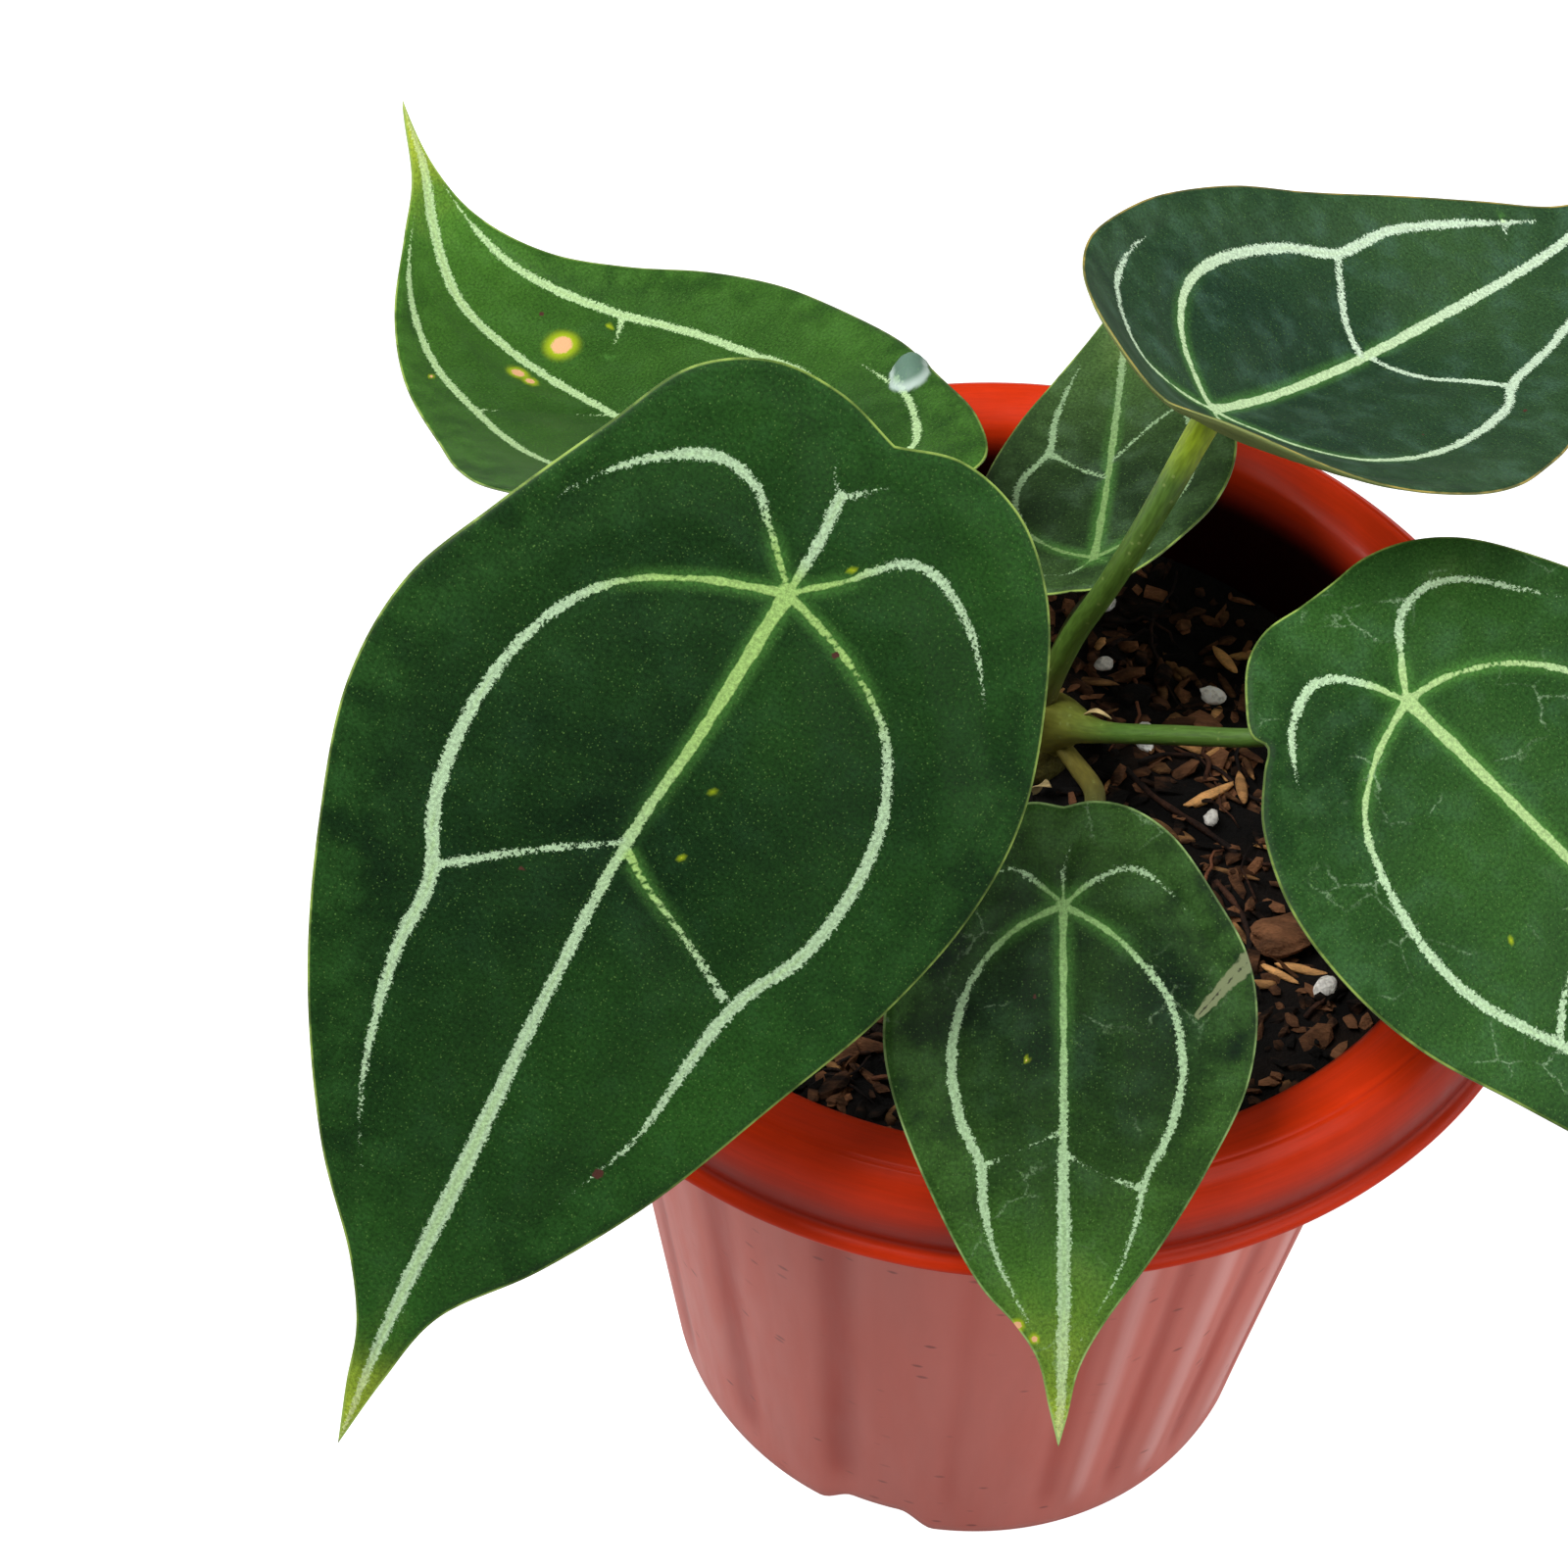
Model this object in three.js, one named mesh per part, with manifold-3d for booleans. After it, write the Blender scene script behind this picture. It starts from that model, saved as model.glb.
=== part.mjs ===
// Potted Anthurium forgetii: six velvety peltate leaves on thin petioles, a short stem,
// a coarse bark mix and a plastic nursery pot with a rolled rim.
// Millimetres, +Z up. The origin is the centre of the pot's flat base on the ground.
// The pot is seen from the -Y side.

import * as THREE from 'three';
import { mergeVertices } from 'three/addons/utils/BufferGeometryUtils.js';
import Module from 'manifold-3d';

const wasm = await Module();
wasm.setup();

// Driving dimensions

const SEAT_GAP = 0.3;            // between pieces that touch

const POT = {
  baseRadius: 48.3,              // outside, at the ground
  neckRadius: 62.8,              // outside, just under the rim
  neckHeight: 126,
  lipRadius: 77.5,               // widest part of the rim
  lipHeight: 126.9,
  height: 140.5,
  wall: 2.0,
  floor: 3.0,
  segments: 48,
};

const NOTCH = {                  // drainage notch in the foot of the wall
  count: 4,
  width: 24,
  height: 4.6,
  inset: 41,                     // distance of its inner end from the pot's axis
  firstAngle: -104,              // degrees
};

const SOIL = { level: 120, ripple: 0.4, rings: 7, segments: 48 };

const STEM = { x: 3, y: 16, radius: 5.6, bottom: 108, top: 127 };

const BLADE = { thickness: 1.2, rows: 24, columns: 4, rowBias: 1.25 };

const PETIOLE_SIDES = 8;
const APPROACH = 4.5;            // straight stretch that meets the blade square

// Each leaf: where the petiole meets the blade, the blade's heading, pitch and roll in degrees,
// its length from there to the tip, how its midrib arches (radians gained along the length, linear
// and quadratic), how its basal lobes arch, its cupping, fold, twist and sideways bow, and the
// outline in millimetres: x across the blade, y along the midrib towards the tip.
const LEAVES = {
  front_left: {
    at: [-28.5, -41, 213], heading: 148, pitch: -44, roll: -32, length: 120,
    arch: [0.05, 0.15], lobeArch: 0.25, cup: 0.25, fold: 0, twist: 0, bow: 0,
    notch: [-3, -21], tip: [-1.5, 124],
    plus: [[5, -23.5], [14, -23.3], [22, -18.5], [28, -7.5], [35, 6.5], [40.3, 19], [41, 33],
      [36.3, 50.5], [29, 68.5], [18.2, 87], [8.6, 99], [3.7, 107.5], [1.5, 115]],
    minus: [[-11, -23], [-20, -20.5], [-27.6, -13.4], [-33.8, -1.6], [-38, 12], [-38.2, 25],
      [-34.6, 41], [-28.5, 56.5], [-21, 75], [-12.7, 90], [-4.6, 101.6], [-2.5, 113]],
    petiole: {
      radius: 1.6,
      path: [[1.2, 13.2, 127.3], [1.1, 13, 130.5], [-0.2, 11, 138], [-4, 5, 154],
        [-12, -6, 174], [-21, -20, 192], [-26.8, -30.5, 204]],
    },
  },
  back_left: {
    at: [-36.5, 28, 161], heading: 59, pitch: -24, roll: 16, length: 108,
    arch: [-0.25, -0.95], lobeArch: 0.1, cup: -0.4, fold: 0.18, twist: 0.05, bow: 0.16,
    notch: [0, -20], tip: [0.8, 108],
    plus: [[5, -25], [12, -26], [21.4, -17.6], [28.3, -5.9], [35, 8.3], [38, 26], [37.3, 39],
      [32.5, 51.5], [24, 62.6], [15, 73.6], [7.3, 86.4], [3.8, 96]],
    minus: [[-8, -24.5], [-20, -22], [-33, -12], [-42, 1], [-43.5, 13], [-39.5, 25],
      [-32.8, 38.9], [-24.4, 59.9], [-16.2, 74.6], [-6.4, 87.5], [-0.8, 96]],
    petiole: {
      radius: 1.5,
      path: [[0.2, 17, 127.3], [0.1, 17, 130.5], [-2.2, 17.8, 137], [-8.5, 19.6, 143.5],
        [-17, 21.5, 147.5], [-26.5, 22.8, 150], [-33, 24.2, 152.6]],
    },
  },
  back_right: {
    at: [21, 21, 189], heading: -39, pitch: -30, roll: 4, length: 105,
    arch: [-0.8, 0.16], lobeArch: -2.6, cup: -0.2, fold: 0.29, twist: 0, bow: -0.02,
    notch: [0, -15], tip: [0, 106],
    plus: [[5, -18], [12, -19.5], [19, -16.5], [26, -9], [31, -1], [35, 9], [35.8, 18],
      [34.6, 27.2], [32.6, 37], [27, 52], [19.5, 68], [11.5, 82], [5, 92.5], [1.8, 99]],
    minus: [[-5, -18.5], [-12, -19.5], [-19, -14.5], [-25, -7], [-29, 1], [-32, 13],
      [-32.8, 23.6], [-30.7, 38.2], [-25.7, 50.3], [-18.7, 65.3], [-11.7, 77], [-4.8, 87],
      [-1.5, 96]],
    petiole: {
      radius: 1.7,
      path: [[5.5, 15.8, 127.3], [5.5, 15.8, 130.5], [5.3, 15.3, 138.5], [6.5, 14.2, 149.9],
        [9.4, 12.9, 159.6], [12.6, 13.1, 169.1], [15.8, 15.3, 177.2]],
    },
  },
  right: {
    at: [49.5, -11, 171.5], heading: -126, pitch: -14, roll: 8, length: 106,
    arch: [0.36, 0.07], lobeArch: 0.2, cup: 0, fold: 0, twist: -0.07, bow: 0.045,
    notch: [0, -18.5], tip: [0, 106],
    plus: [[6, -19.3], [11, -18], [15.5, -14.5], [19, -10.3], [18.6, -8], [21.7, -5.8],
      [27.5, -0.8], [33, 9], [34.9, 21], [33.5, 33], [28.5, 46], [21.5, 62], [13, 78], [6, 91],
      [2.4, 98]],
    minus: [[-5.5, -18], [-11.7, -17.6], [-18, -15.3], [-24.2, -10.2], [-31, 2], [-35, 12],
      [-37, 22], [-35.5, 34], [-30.5, 48], [-22.5, 64], [-13.5, 79], [-6, 91], [-2.3, 98]],
    petiole: {
      radius: 1.3,
      path: [[8.9, 12.6, 124.6], [10.2, 11.4, 128], [15, 6, 137.5], [21.5, -0.8, 147.5],
        [31.5, -6.7, 156], [41.5, -8.3, 161]],
    },
  },
  front: {
    at: [7.8, -50, 171], heading: -172, pitch: -40, roll: -3, length: 71,
    arch: [0.12, 0.15], lobeArch: 0.1, cup: 0.05, fold: 0, twist: 0, bow: -0.01,
    notch: [0, -12.2], tip: [0.2, 69.4],
    plus: [[4.5, -12.7], [11.6, -9], [17.5, -0.5], [21.3, 8.5], [22.5, 16], [21.2, 24],
      [16.3, 36.6], [10.3, 47.9], [5.8, 53.1], [3, 57.7], [1.5, 64]],
    minus: [[-3.8, -12.9], [-8.5, -12], [-13.7, -8.5], [-19.2, -0.8], [-23.1, 6.3],
      [-24.4, 13.8], [-23.2, 22.7], [-18.3, 33.1], [-12.3, 43.1], [-4.9, 53.6], [-2.2, 59],
      [-0.9, 65]],
    petiole: {
      radius: 1.6,
      path: [[4, 9.1, 124.4], [5.8, 7.8, 127.2], [9, 4, 130.6], [11.3, -4, 136.5],
        [10.5, -20, 146.5], [8.2, -36, 156.5], [7.2, -44.3, 163.6]],
    },
  },
  back: {
    at: [7.8, 24.3, 154.8], heading: -6, pitch: -6, roll: -18, length: 62,
    arch: [-0.2, -0.05], lobeArch: -0.1, cup: -0.1, fold: 0.07, twist: 0, bow: 0,
    notch: [-2, -7.6], tip: [-2.3, 60],
    plus: [[1.7, -7.3], [7.8, -3.4], [13, 2.8], [16.4, 8.4], [18.1, 15.6], [17.6, 23.7],
      [14.3, 33.9], [8.2, 44.6], [2.2, 52.2], [-0.5, 56]],
    minus: [[-5.7, -8.2], [-11.3, -6.3], [-15.9, -1], [-18.6, 7], [-18.7, 17.4], [-15.7, 29],
      [-11.7, 37.8], [-6.8, 47.8], [-3.6, 55]],
    petiole: {
      radius: 1.2,
      path: [[3.4, 19.5, 127.3], [3.5, 19.6, 130.5], [4.1, 20.7, 136], [6.5, 22.8, 143.5]],
    },
  },
};

// Loose pieces that lie on the mix. Each has its place, its half sizes and its turn in degrees.
const PERLITE = [
  { at: [11.5, 34], half: [1.6, 1.3, 1.1], turn: 20 },
  { at: [28, 30], half: [2.2, 1.5, 1.3], turn: -25 },
  { at: [18.5, 19], half: [2.0, 1.0, 0.9], turn: -40 },
  { at: [46, -22], half: [2.4, 1.7, 1.5], turn: 60 },
  { at: [-24, -38], half: [1.7, 1.4, 1.2], turn: 10 },
];

const BARK = [
  { at: [16.5, 28.5], half: [2.8, 1.9, 1.6], turn: 35 },
  { at: [20.5, 33], half: [2.0, 1.5, 1.4], turn: 80 },
  { at: [40, -13.5], half: [5.2, 3.8, 1.8], turn: 25 },
  { at: [-18, -30], half: [3.6, 2.4, 1.8], turn: -30 },
  { at: [-34, 24], half: [4.0, 2.8, 2.0], turn: 65 },
];

const HUSK = [
  { at: [29.5, 37.8], half: [3.4, 0.9, 0.7], turn: -52 },
  { at: [24, 24.5], half: [3.2, 0.9, 0.7], turn: 15 },
  { at: [33, 13], half: [3.3, 0.9, 0.7], turn: 100 },
  { at: [34, -29.5], half: [3.0, 0.8, 0.7], turn: 70 },
  { at: [22, 4], half: [3.2, 0.9, 0.7], turn: -35 },
  { at: [-32, -16], half: [3.4, 0.9, 0.7], turn: 40 },
];

const TWIGS = [
  { radius: 0.5, path: [[16, 14.5], [20.5, 9.5], [27, 5.5], [33, 1]] },
  { radius: 0.45, path: [[30, -4], [33.5, -8.5], [35.5, -14.5], [34, -20]] },
  { radius: 0.4, path: [[-40, 2], [-34, -4], [-26, -7], [-18, -13]] },
];

const MATERIALS = {
  pot: { color: 0xb5432c, roughness: 0.42, metalness: 0 },
  soil: { color: 0x241a14, roughness: 0.95, metalness: 0 },
  stem: { color: 0x5e5a2a, roughness: 0.7, metalness: 0 },
  petiole: { color: 0x5f8038, roughness: 0.5, metalness: 0 },
  blade: { color: 0x1f4a26, roughness: 0.6, metalness: 0 },
  perlite: { color: 0xe2ded4, roughness: 0.9, metalness: 0 },
  bark: { color: 0x6d4c35, roughness: 0.9, metalness: 0 },
  husk: { color: 0xa7743e, roughness: 0.8, metalness: 0 },
  twig: { color: 0x3a2a22, roughness: 0.9, metalness: 0 },
};

// Helpers

const part = new THREE.Group();
part.name = 'potted_anthurium';

const radians = THREE.MathUtils.degToRad;

function add(name, geometry, finish) {
  const mesh = new THREE.Mesh(geometry, new THREE.MeshStandardMaterial(MATERIALS[finish]));
  mesh.name = name;
  part.add(mesh);
  return mesh;
}

function welded(geometry) {
  const bare = geometry.clone();
  bare.deleteAttribute('normal');
  bare.deleteAttribute('uv');
  return mergeVertices(bare, 1e-4);
}

function toSolid(geometry) {
  const merged = welded(geometry);
  return new wasm.Manifold(new wasm.Mesh({
    numProp: 3,
    vertProperties: new Float32Array(merged.attributes.position.array),
    triVerts: new Uint32Array(merged.index.array),
  }));
}

function toGeometry(solid) {
  const mesh = solid.getMesh();
  const geometry = new THREE.BufferGeometry();
  geometry.setAttribute('position', new THREE.BufferAttribute(mesh.vertProperties, 3));
  geometry.setIndex(new THREE.BufferAttribute(mesh.triVerts, 1));
  geometry.computeVertexNormals();
  return geometry;
}

function lathe(profile, segments) {
  const points = profile.map(([r, z]) => new THREE.Vector2(r, z));
  const geometry = new THREE.LatheGeometry(points, segments);
  geometry.rotateX(Math.PI / 2);
  return geometry;
}

function tube(points, radius, sides, steps) {
  const curve = new THREE.CatmullRomCurve3(points.map((p) => new THREE.Vector3(...p)));
  const section = new THREE.Shape();
  for (let i = 0; i < sides; i += 1) {
    const angle = (2 * Math.PI * i) / sides;
    const place = [radius * Math.cos(angle), radius * Math.sin(angle)];
    if (i === 0) section.moveTo(...place);
    else section.lineTo(...place);
  }
  section.closePath();
  return new THREE.ExtrudeGeometry(section, { steps, extrudePath: curve });
}

// Pot: a hollow shell turned from one profile, with notches cut in its foot

function wallRadius(z) {
  const slope = (POT.neckRadius - POT.baseRadius) / POT.neckHeight;
  return POT.baseRadius + slope * z;
}

function potGeometry() {
  const innerTop = POT.neckHeight - 2;
  const profile = [
    [0, 0],
    [POT.baseRadius - 1, 0],
    [wallRadius(1), 1],
    [POT.neckRadius, POT.neckHeight],
    [POT.neckRadius + 0.4, 133],
    [66, 137],
    [71, 137.6],
    [73.4, 134.5],
    [74.2, 129],
    [75, 126.6],
    [76.8, 126.2],
    [POT.lipRadius, POT.lipHeight],
    [76.9, 128.2],
    [75.7, 129.2],
    [75.9, 133],
    [75, 136.8],
    [73.5, 139],
    [71.9, POT.height],
    [68.5, 139.9],
    [65, 138.4],
    [63.2, 136],
    [61.8, 131.5],
    [wallRadius(innerTop) - POT.wall, innerTop],
    [wallRadius(POT.floor + 2) - POT.wall, POT.floor + 2],
    [wallRadius(POT.floor) - POT.wall - 2, POT.floor],
    [0, POT.floor],
  ];
  let solid = toSolid(lathe(profile, POT.segments));
  for (let i = 0; i < NOTCH.count; i += 1) {
    const angle = radians(NOTCH.firstAngle + (360 / NOTCH.count) * i);
    solid = solid.subtract(toSolid(notchGeometry(angle)));
  }
  return toGeometry(solid);
}

function notchGeometry(angle) {
  const arch = new THREE.Shape();
  const half = NOTCH.width / 2;
  arch.moveTo(-half, -1);
  arch.lineTo(half, -1);
  arch.lineTo(half, 0);
  arch.bezierCurveTo(half * 0.7, NOTCH.height * 1.3, -half * 0.7, NOTCH.height * 1.3, -half, 0);
  arch.closePath();
  const depth = POT.baseRadius - NOTCH.inset + 4;
  const geometry = new THREE.ExtrudeGeometry(arch, { depth, bevelEnabled: false, curveSegments: 6 });
  geometry.rotateX(Math.PI / 2);
  geometry.rotateZ(Math.PI);
  geometry.translate(0, NOTCH.inset, 0);
  geometry.rotateZ(angle - Math.PI / 2);
  return geometry;
}

// Potting mix: a plug that fills the pot, with a gently rippled top and a socket for the stem

function soilHeight(x, y) {
  const ripple = Math.sin(x * 0.17 + 1) * Math.cos(y * 0.21) + 0.6 * Math.sin((x - y) * 0.11);
  return SOIL.level + SOIL.ripple * ripple;
}

function soilGeometry() {
  const topRadius = wallRadius(SOIL.level) - POT.wall - SEAT_GAP;
  const profile = [
    [0, POT.floor + SEAT_GAP],
    [wallRadius(POT.floor) - POT.wall - 3, POT.floor + SEAT_GAP],
    [wallRadius(POT.floor + 3) - POT.wall - SEAT_GAP, POT.floor + 3],
    [topRadius, SOIL.level],
  ];
  for (let ring = SOIL.rings - 1; ring >= 0; ring -= 1) {
    profile.push([(topRadius * ring) / SOIL.rings, SOIL.level]);
  }
  const geometry = welded(lathe(profile, SOIL.segments));
  const position = geometry.attributes.position;
  for (let i = 0; i < position.count; i += 1) {
    const [x, y, z] = [position.getX(i), position.getY(i), position.getZ(i)];
    const inside = Math.hypot(x, y) < topRadius - 1;
    if (z > SOIL.level - 1 && inside) position.setZ(i, soilHeight(x, y));
  }
  const socket = new THREE.CylinderGeometry(
    STEM.radius + SEAT_GAP, STEM.radius + SEAT_GAP, 40, 16);
  socket.rotateX(Math.PI / 2);
  socket.translate(STEM.x, STEM.y, STEM.bottom - SEAT_GAP + 20);
  return toGeometry(toSolid(geometry).subtract(toSolid(socket)));
}

// Stem: the short thick axis that every petiole grows from

function stemGeometry() {
  const r = STEM.radius;
  const profile = [
    [0, STEM.bottom],
    [r * 0.7, STEM.bottom],
    [r, STEM.bottom + 3],
    [r * 0.93, SOIL.level + 2],
    [r * 0.96, STEM.top - 1],
    [r * 0.9, STEM.top],
    [0, STEM.top],
  ];
  const geometry = lathe(profile, 16);
  geometry.translate(STEM.x, STEM.y, 0);
  return geometry;
}

// Leaves: a thin closed sheet over the outline, bent along its midrib and across it

function archedPoint(leaf, v) {
  const steps = 48;
  const span = v / leaf.length;
  let y = 0;
  let z = 0;
  for (let i = 0; i < steps; i += 1) {
    const s = (span * (i + 0.5)) / steps;
    const slope = archSlope(leaf, s);
    y += (Math.cos(slope) * v) / steps;
    z -= (Math.sin(slope) * v) / steps;
  }
  return { y, z, slope: archSlope(leaf, span) };
}

function archSlope(leaf, s) {
  return s > 0 ? leaf.arch[0] * s + leaf.arch[1] * s * s : leaf.lobeArch * s;
}

function bladePoint(leaf, u, v, lift) {
  const rib = archedPoint(leaf, v);
  const s = v / leaf.length;
  const crease = 3;
  const rise = -0.5 * leaf.cup * u * u / leaf.length
    + leaf.fold * (Math.hypot(u, crease) - crease) + leaf.twist * u * s + lift;
  return [
    u + leaf.bow * leaf.length * s * s,
    rib.y + rise * Math.sin(rib.slope),
    rib.z + rise * Math.cos(rib.slope),
  ];
}

function marginPoints(leaf, side) {
  const points = [leaf.notch, ...side, leaf.tip].map(([u, v]) => new THREE.Vector3(u, v, 0));
  return new THREE.CatmullRomCurve3(points).getSpacedPoints(BLADE.rows);
}

function bladeGeometry(leaf) {
  const { rows, columns, thickness, rowBias } = BLADE;
  const plus = marginPoints(leaf, leaf.plus);
  const minus = marginPoints(leaf, leaf.minus);
  const positions = [];
  const index = [];
  const grids = [thickness / 2, -thickness / 2].map((lift) => {
    const grid = [];
    for (let row = 0; row <= rows; row += 1) {
      const along = (row / rows) ** rowBias;
      const rib = THREE.MathUtils.lerp(leaf.notch[1], leaf.tip[1], along);
      const ribX = THREE.MathUtils.lerp(leaf.notch[0], leaf.tip[0], along);
      const line = [];
      for (let column = -columns; column <= columns; column += 1) {
        const edge = column < 0 ? minus[row] : plus[row];
        const reach = Math.abs(column) / columns;
        const pole = row === 0 || row === rows;
        const taper = reach === 1 ? 0.5 : 1;
        if (pole && column > -columns) {
          line.push(line[0]);
          continue;
        }
        const u = THREE.MathUtils.lerp(ribX, edge.x, pole ? 1 : reach);
        const v = THREE.MathUtils.lerp(rib, edge.y, pole ? 1 : reach);
        line.push(positions.length / 3);
        positions.push(...bladePoint(leaf, u, v, lift * (pole ? 0.5 : taper)));
      }
      grid.push(line);
    }
    return grid;
  });
  const quad = (a, b, c, d) => {
    if (a !== b && b !== c && c !== a) index.push(a, b, c);
    if (a !== c && c !== d && d !== a) index.push(a, c, d);
  };
  const last = 2 * columns;
  const [top, bottom] = grids;
  for (let row = 0; row < rows; row += 1) {
    for (let k = 0; k < last; k += 1) {
      quad(top[row][k], top[row][k + 1], top[row + 1][k + 1], top[row + 1][k]);
      quad(bottom[row][k], bottom[row + 1][k], bottom[row + 1][k + 1], bottom[row][k + 1]);
    }
    quad(top[row][last], bottom[row][last], bottom[row + 1][last], top[row + 1][last]);
    quad(top[row][0], top[row + 1][0], bottom[row + 1][0], bottom[row][0]);
  }
  const geometry = new THREE.BufferGeometry();
  geometry.setAttribute('position', new THREE.Float32BufferAttribute(positions, 3));
  geometry.setIndex(index);
  geometry.computeVertexNormals();
  return geometry;
}

function petiolePath(leaf) {
  const turn = new THREE.Euler(radians(leaf.pitch), radians(leaf.roll), radians(leaf.heading), 'ZXY');
  const normal = new THREE.Vector3(0, 0, 1).applyEuler(turn);
  const drop = BLADE.thickness / 2 + SEAT_GAP + 0.1;
  const under = [drop + APPROACH, drop].map((depth) => (
    new THREE.Vector3(...leaf.at).addScaledVector(normal, -depth).toArray()));
  return [...leaf.petiole.path, ...under];
}

function addLeaf(name, leaf) {
  const blade = add(`blade_${name}`, bladeGeometry(leaf), 'blade');
  blade.position.set(...leaf.at);
  blade.rotation.set(radians(leaf.pitch), radians(leaf.roll), radians(leaf.heading), 'ZXY');
  const steps = leaf.petiole.path.length * 2;
  const shape = tube(petiolePath(leaf), leaf.petiole.radius, PETIOLE_SIDES, steps);
  add(`petiole_${name}`, shape, 'petiole');
}

// Loose pieces: lumps, slivers and twigs that rest on the mix

function highestUnder(x, y, reach) {
  let top = -Infinity;
  for (let i = 0; i < 12; i += 1) {
    const angle = (Math.PI * i) / 6;
    top = Math.max(top, soilHeight(x + reach * Math.cos(angle), y + reach * Math.sin(angle)));
  }
  return Math.max(top, soilHeight(x, y));
}

function lump(piece, shape) {
  const [a, b, c] = piece.half;
  const geometry = welded(shape);
  geometry.scale(a, b, c);
  geometry.rotateZ(radians(piece.turn));
  const [x, y] = piece.at;
  geometry.translate(x, y, highestUnder(x, y, a) + c + SEAT_GAP);
  geometry.computeVertexNormals();
  return geometry;
}

function twigGeometry(twig) {
  const points = twig.path.map(([x, y]) => (
    [x, y, highestUnder(x, y, 2) + twig.radius + SEAT_GAP]));
  return tube(points, twig.radius, 5, 7);
}

// Assembly

add('pot', potGeometry(), 'pot');
add('potting_mix', soilGeometry(), 'soil');
add('stem', stemGeometry(), 'stem');
for (const [name, leaf] of Object.entries(LEAVES)) addLeaf(name, leaf);
PERLITE.forEach((piece, i) => {
  add(`perlite_${i + 1}`, lump(piece, new THREE.IcosahedronGeometry(1, 1)), 'perlite');
});
BARK.forEach((piece, i) => {
  add(`bark_${i + 1}`, lump(piece, new THREE.DodecahedronGeometry(1, 0)), 'bark');
});
HUSK.forEach((piece, i) => {
  add(`husk_${i + 1}`, lump(piece, new THREE.OctahedronGeometry(1, 1)), 'husk');
});
TWIGS.forEach((twig, i) => add(`twig_${i + 1}`, twigGeometry(twig), 'twig'));

export default part;
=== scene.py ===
"""Potted Anthurium forgetii: velvety leaves, stalks, stem, bark mix and a rolled-rim nursery pot.

Lengths in the classes are millimetres unless a name says otherwise, and metres once they are in a
mesh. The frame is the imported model's: the pot stands on z = 0, centred on the z axis, and is seen
from the -Y side.
"""

import logging
from dataclasses import dataclass, field
from enum import Enum
from math import cos, pi, radians, sin

import bpy
import numpy as np
from mathutils import Matrix, Vector


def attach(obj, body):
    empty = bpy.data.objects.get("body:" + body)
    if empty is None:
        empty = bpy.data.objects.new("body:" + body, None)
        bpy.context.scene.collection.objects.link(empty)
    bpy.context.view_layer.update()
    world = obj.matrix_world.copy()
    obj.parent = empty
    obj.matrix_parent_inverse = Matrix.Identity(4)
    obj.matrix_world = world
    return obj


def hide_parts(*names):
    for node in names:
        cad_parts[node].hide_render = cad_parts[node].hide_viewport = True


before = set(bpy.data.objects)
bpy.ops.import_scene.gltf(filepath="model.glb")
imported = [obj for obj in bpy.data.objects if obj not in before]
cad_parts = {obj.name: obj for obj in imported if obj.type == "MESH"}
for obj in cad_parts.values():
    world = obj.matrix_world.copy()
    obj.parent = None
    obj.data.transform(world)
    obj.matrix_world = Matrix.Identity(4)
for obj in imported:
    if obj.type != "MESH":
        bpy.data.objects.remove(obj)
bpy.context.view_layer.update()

MM = 0.001
BODY = "root"
report = logging.getLogger("potted_plant")

Array = np.ndarray
Colour = tuple[float, float, float, float]
Point2 = tuple[float, float]
Point3 = tuple[float, float, float]
Socket = bpy.types.NodeSocket
Finish = bpy.types.Material
Thing = bpy.types.Object


def tone(red: int, green: int, blue: int) -> Colour:
    """A display colour of 0 to 255 per channel, as the linear colour that shaders use.

    Args:
        red, green, blue: The display values.
    Returns:
        Linear red, green and blue, and an alpha of 1.
    """
    parts = [channel / 255 for channel in (red, green, blue)]
    linear = [p / 12.92 if p <= 0.04045 else ((p + 0.055) / 1.055) ** 2.4 for p in parts]
    return (linear[0], linear[1], linear[2], 1.0)


# Curves, noise and surfaces


def spline(points: Array, per_span: int = 12) -> Array:
    """A centripetal Catmull-Rom curve through the points.

    Each span is the blend of its four nearest points, with knots spaced by the square root of the
    distance between points, and the ends are continued by reflection.

    Args:
        points: The points, one per row, of any dimension.
        per_span: Samples in each span.
    Returns:
        The samples, one per row, from the first point to the last.
    """
    points = np.asarray(points, float)
    ends = 2 * points[[0, -1]] - points[[1, -2]]
    knots = np.vstack([ends[:1], points, ends[1:]])
    a, b, c, d = knots[:-3], knots[1:-2], knots[2:-1], knots[3:]
    t1 = np.sqrt(np.linalg.norm(b - a, axis=1))[:, None, None]
    t2 = t1 + np.sqrt(np.linalg.norm(c - b, axis=1))[:, None, None]
    t3 = t2 + np.sqrt(np.linalg.norm(d - c, axis=1))[:, None, None]
    step = np.linspace(0, 1, per_span, endpoint=False)[None, :, None]
    t = t1 + (t2 - t1) * step
    a, b, c, d = (knot[:, None, :] for knot in (a, b, c, d))
    ab = a + (b - a) * t / t1
    bc = b + (c - b) * (t - t1) / (t2 - t1)
    cd = c + (d - c) * (t - t2) / (t3 - t2)
    abc = ab + (bc - ab) * t / t2
    bcd = bc + (cd - bc) * (t - t1) / (t3 - t1)
    curve = abc + (bcd - abc) * (t - t1) / (t2 - t1)
    return np.vstack([curve.reshape(-1, points.shape[1]), points[-1:]])


def evenly(curve: Array, places: Array) -> Array:
    """Points of a curve at given shares of its length.

    Args:
        curve: Samples of the curve, one per row.
        places: Shares of the length, from 0 to 1.
    Returns:
        One row per place.
    """
    steps = np.linalg.norm(np.diff(curve, axis=0), axis=1)
    length = np.concatenate([[0.0], np.cumsum(steps)])
    at = np.asarray(places) * length[-1]
    return np.stack([np.interp(at, length, axis) for axis in curve.T], axis=-1)


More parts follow.
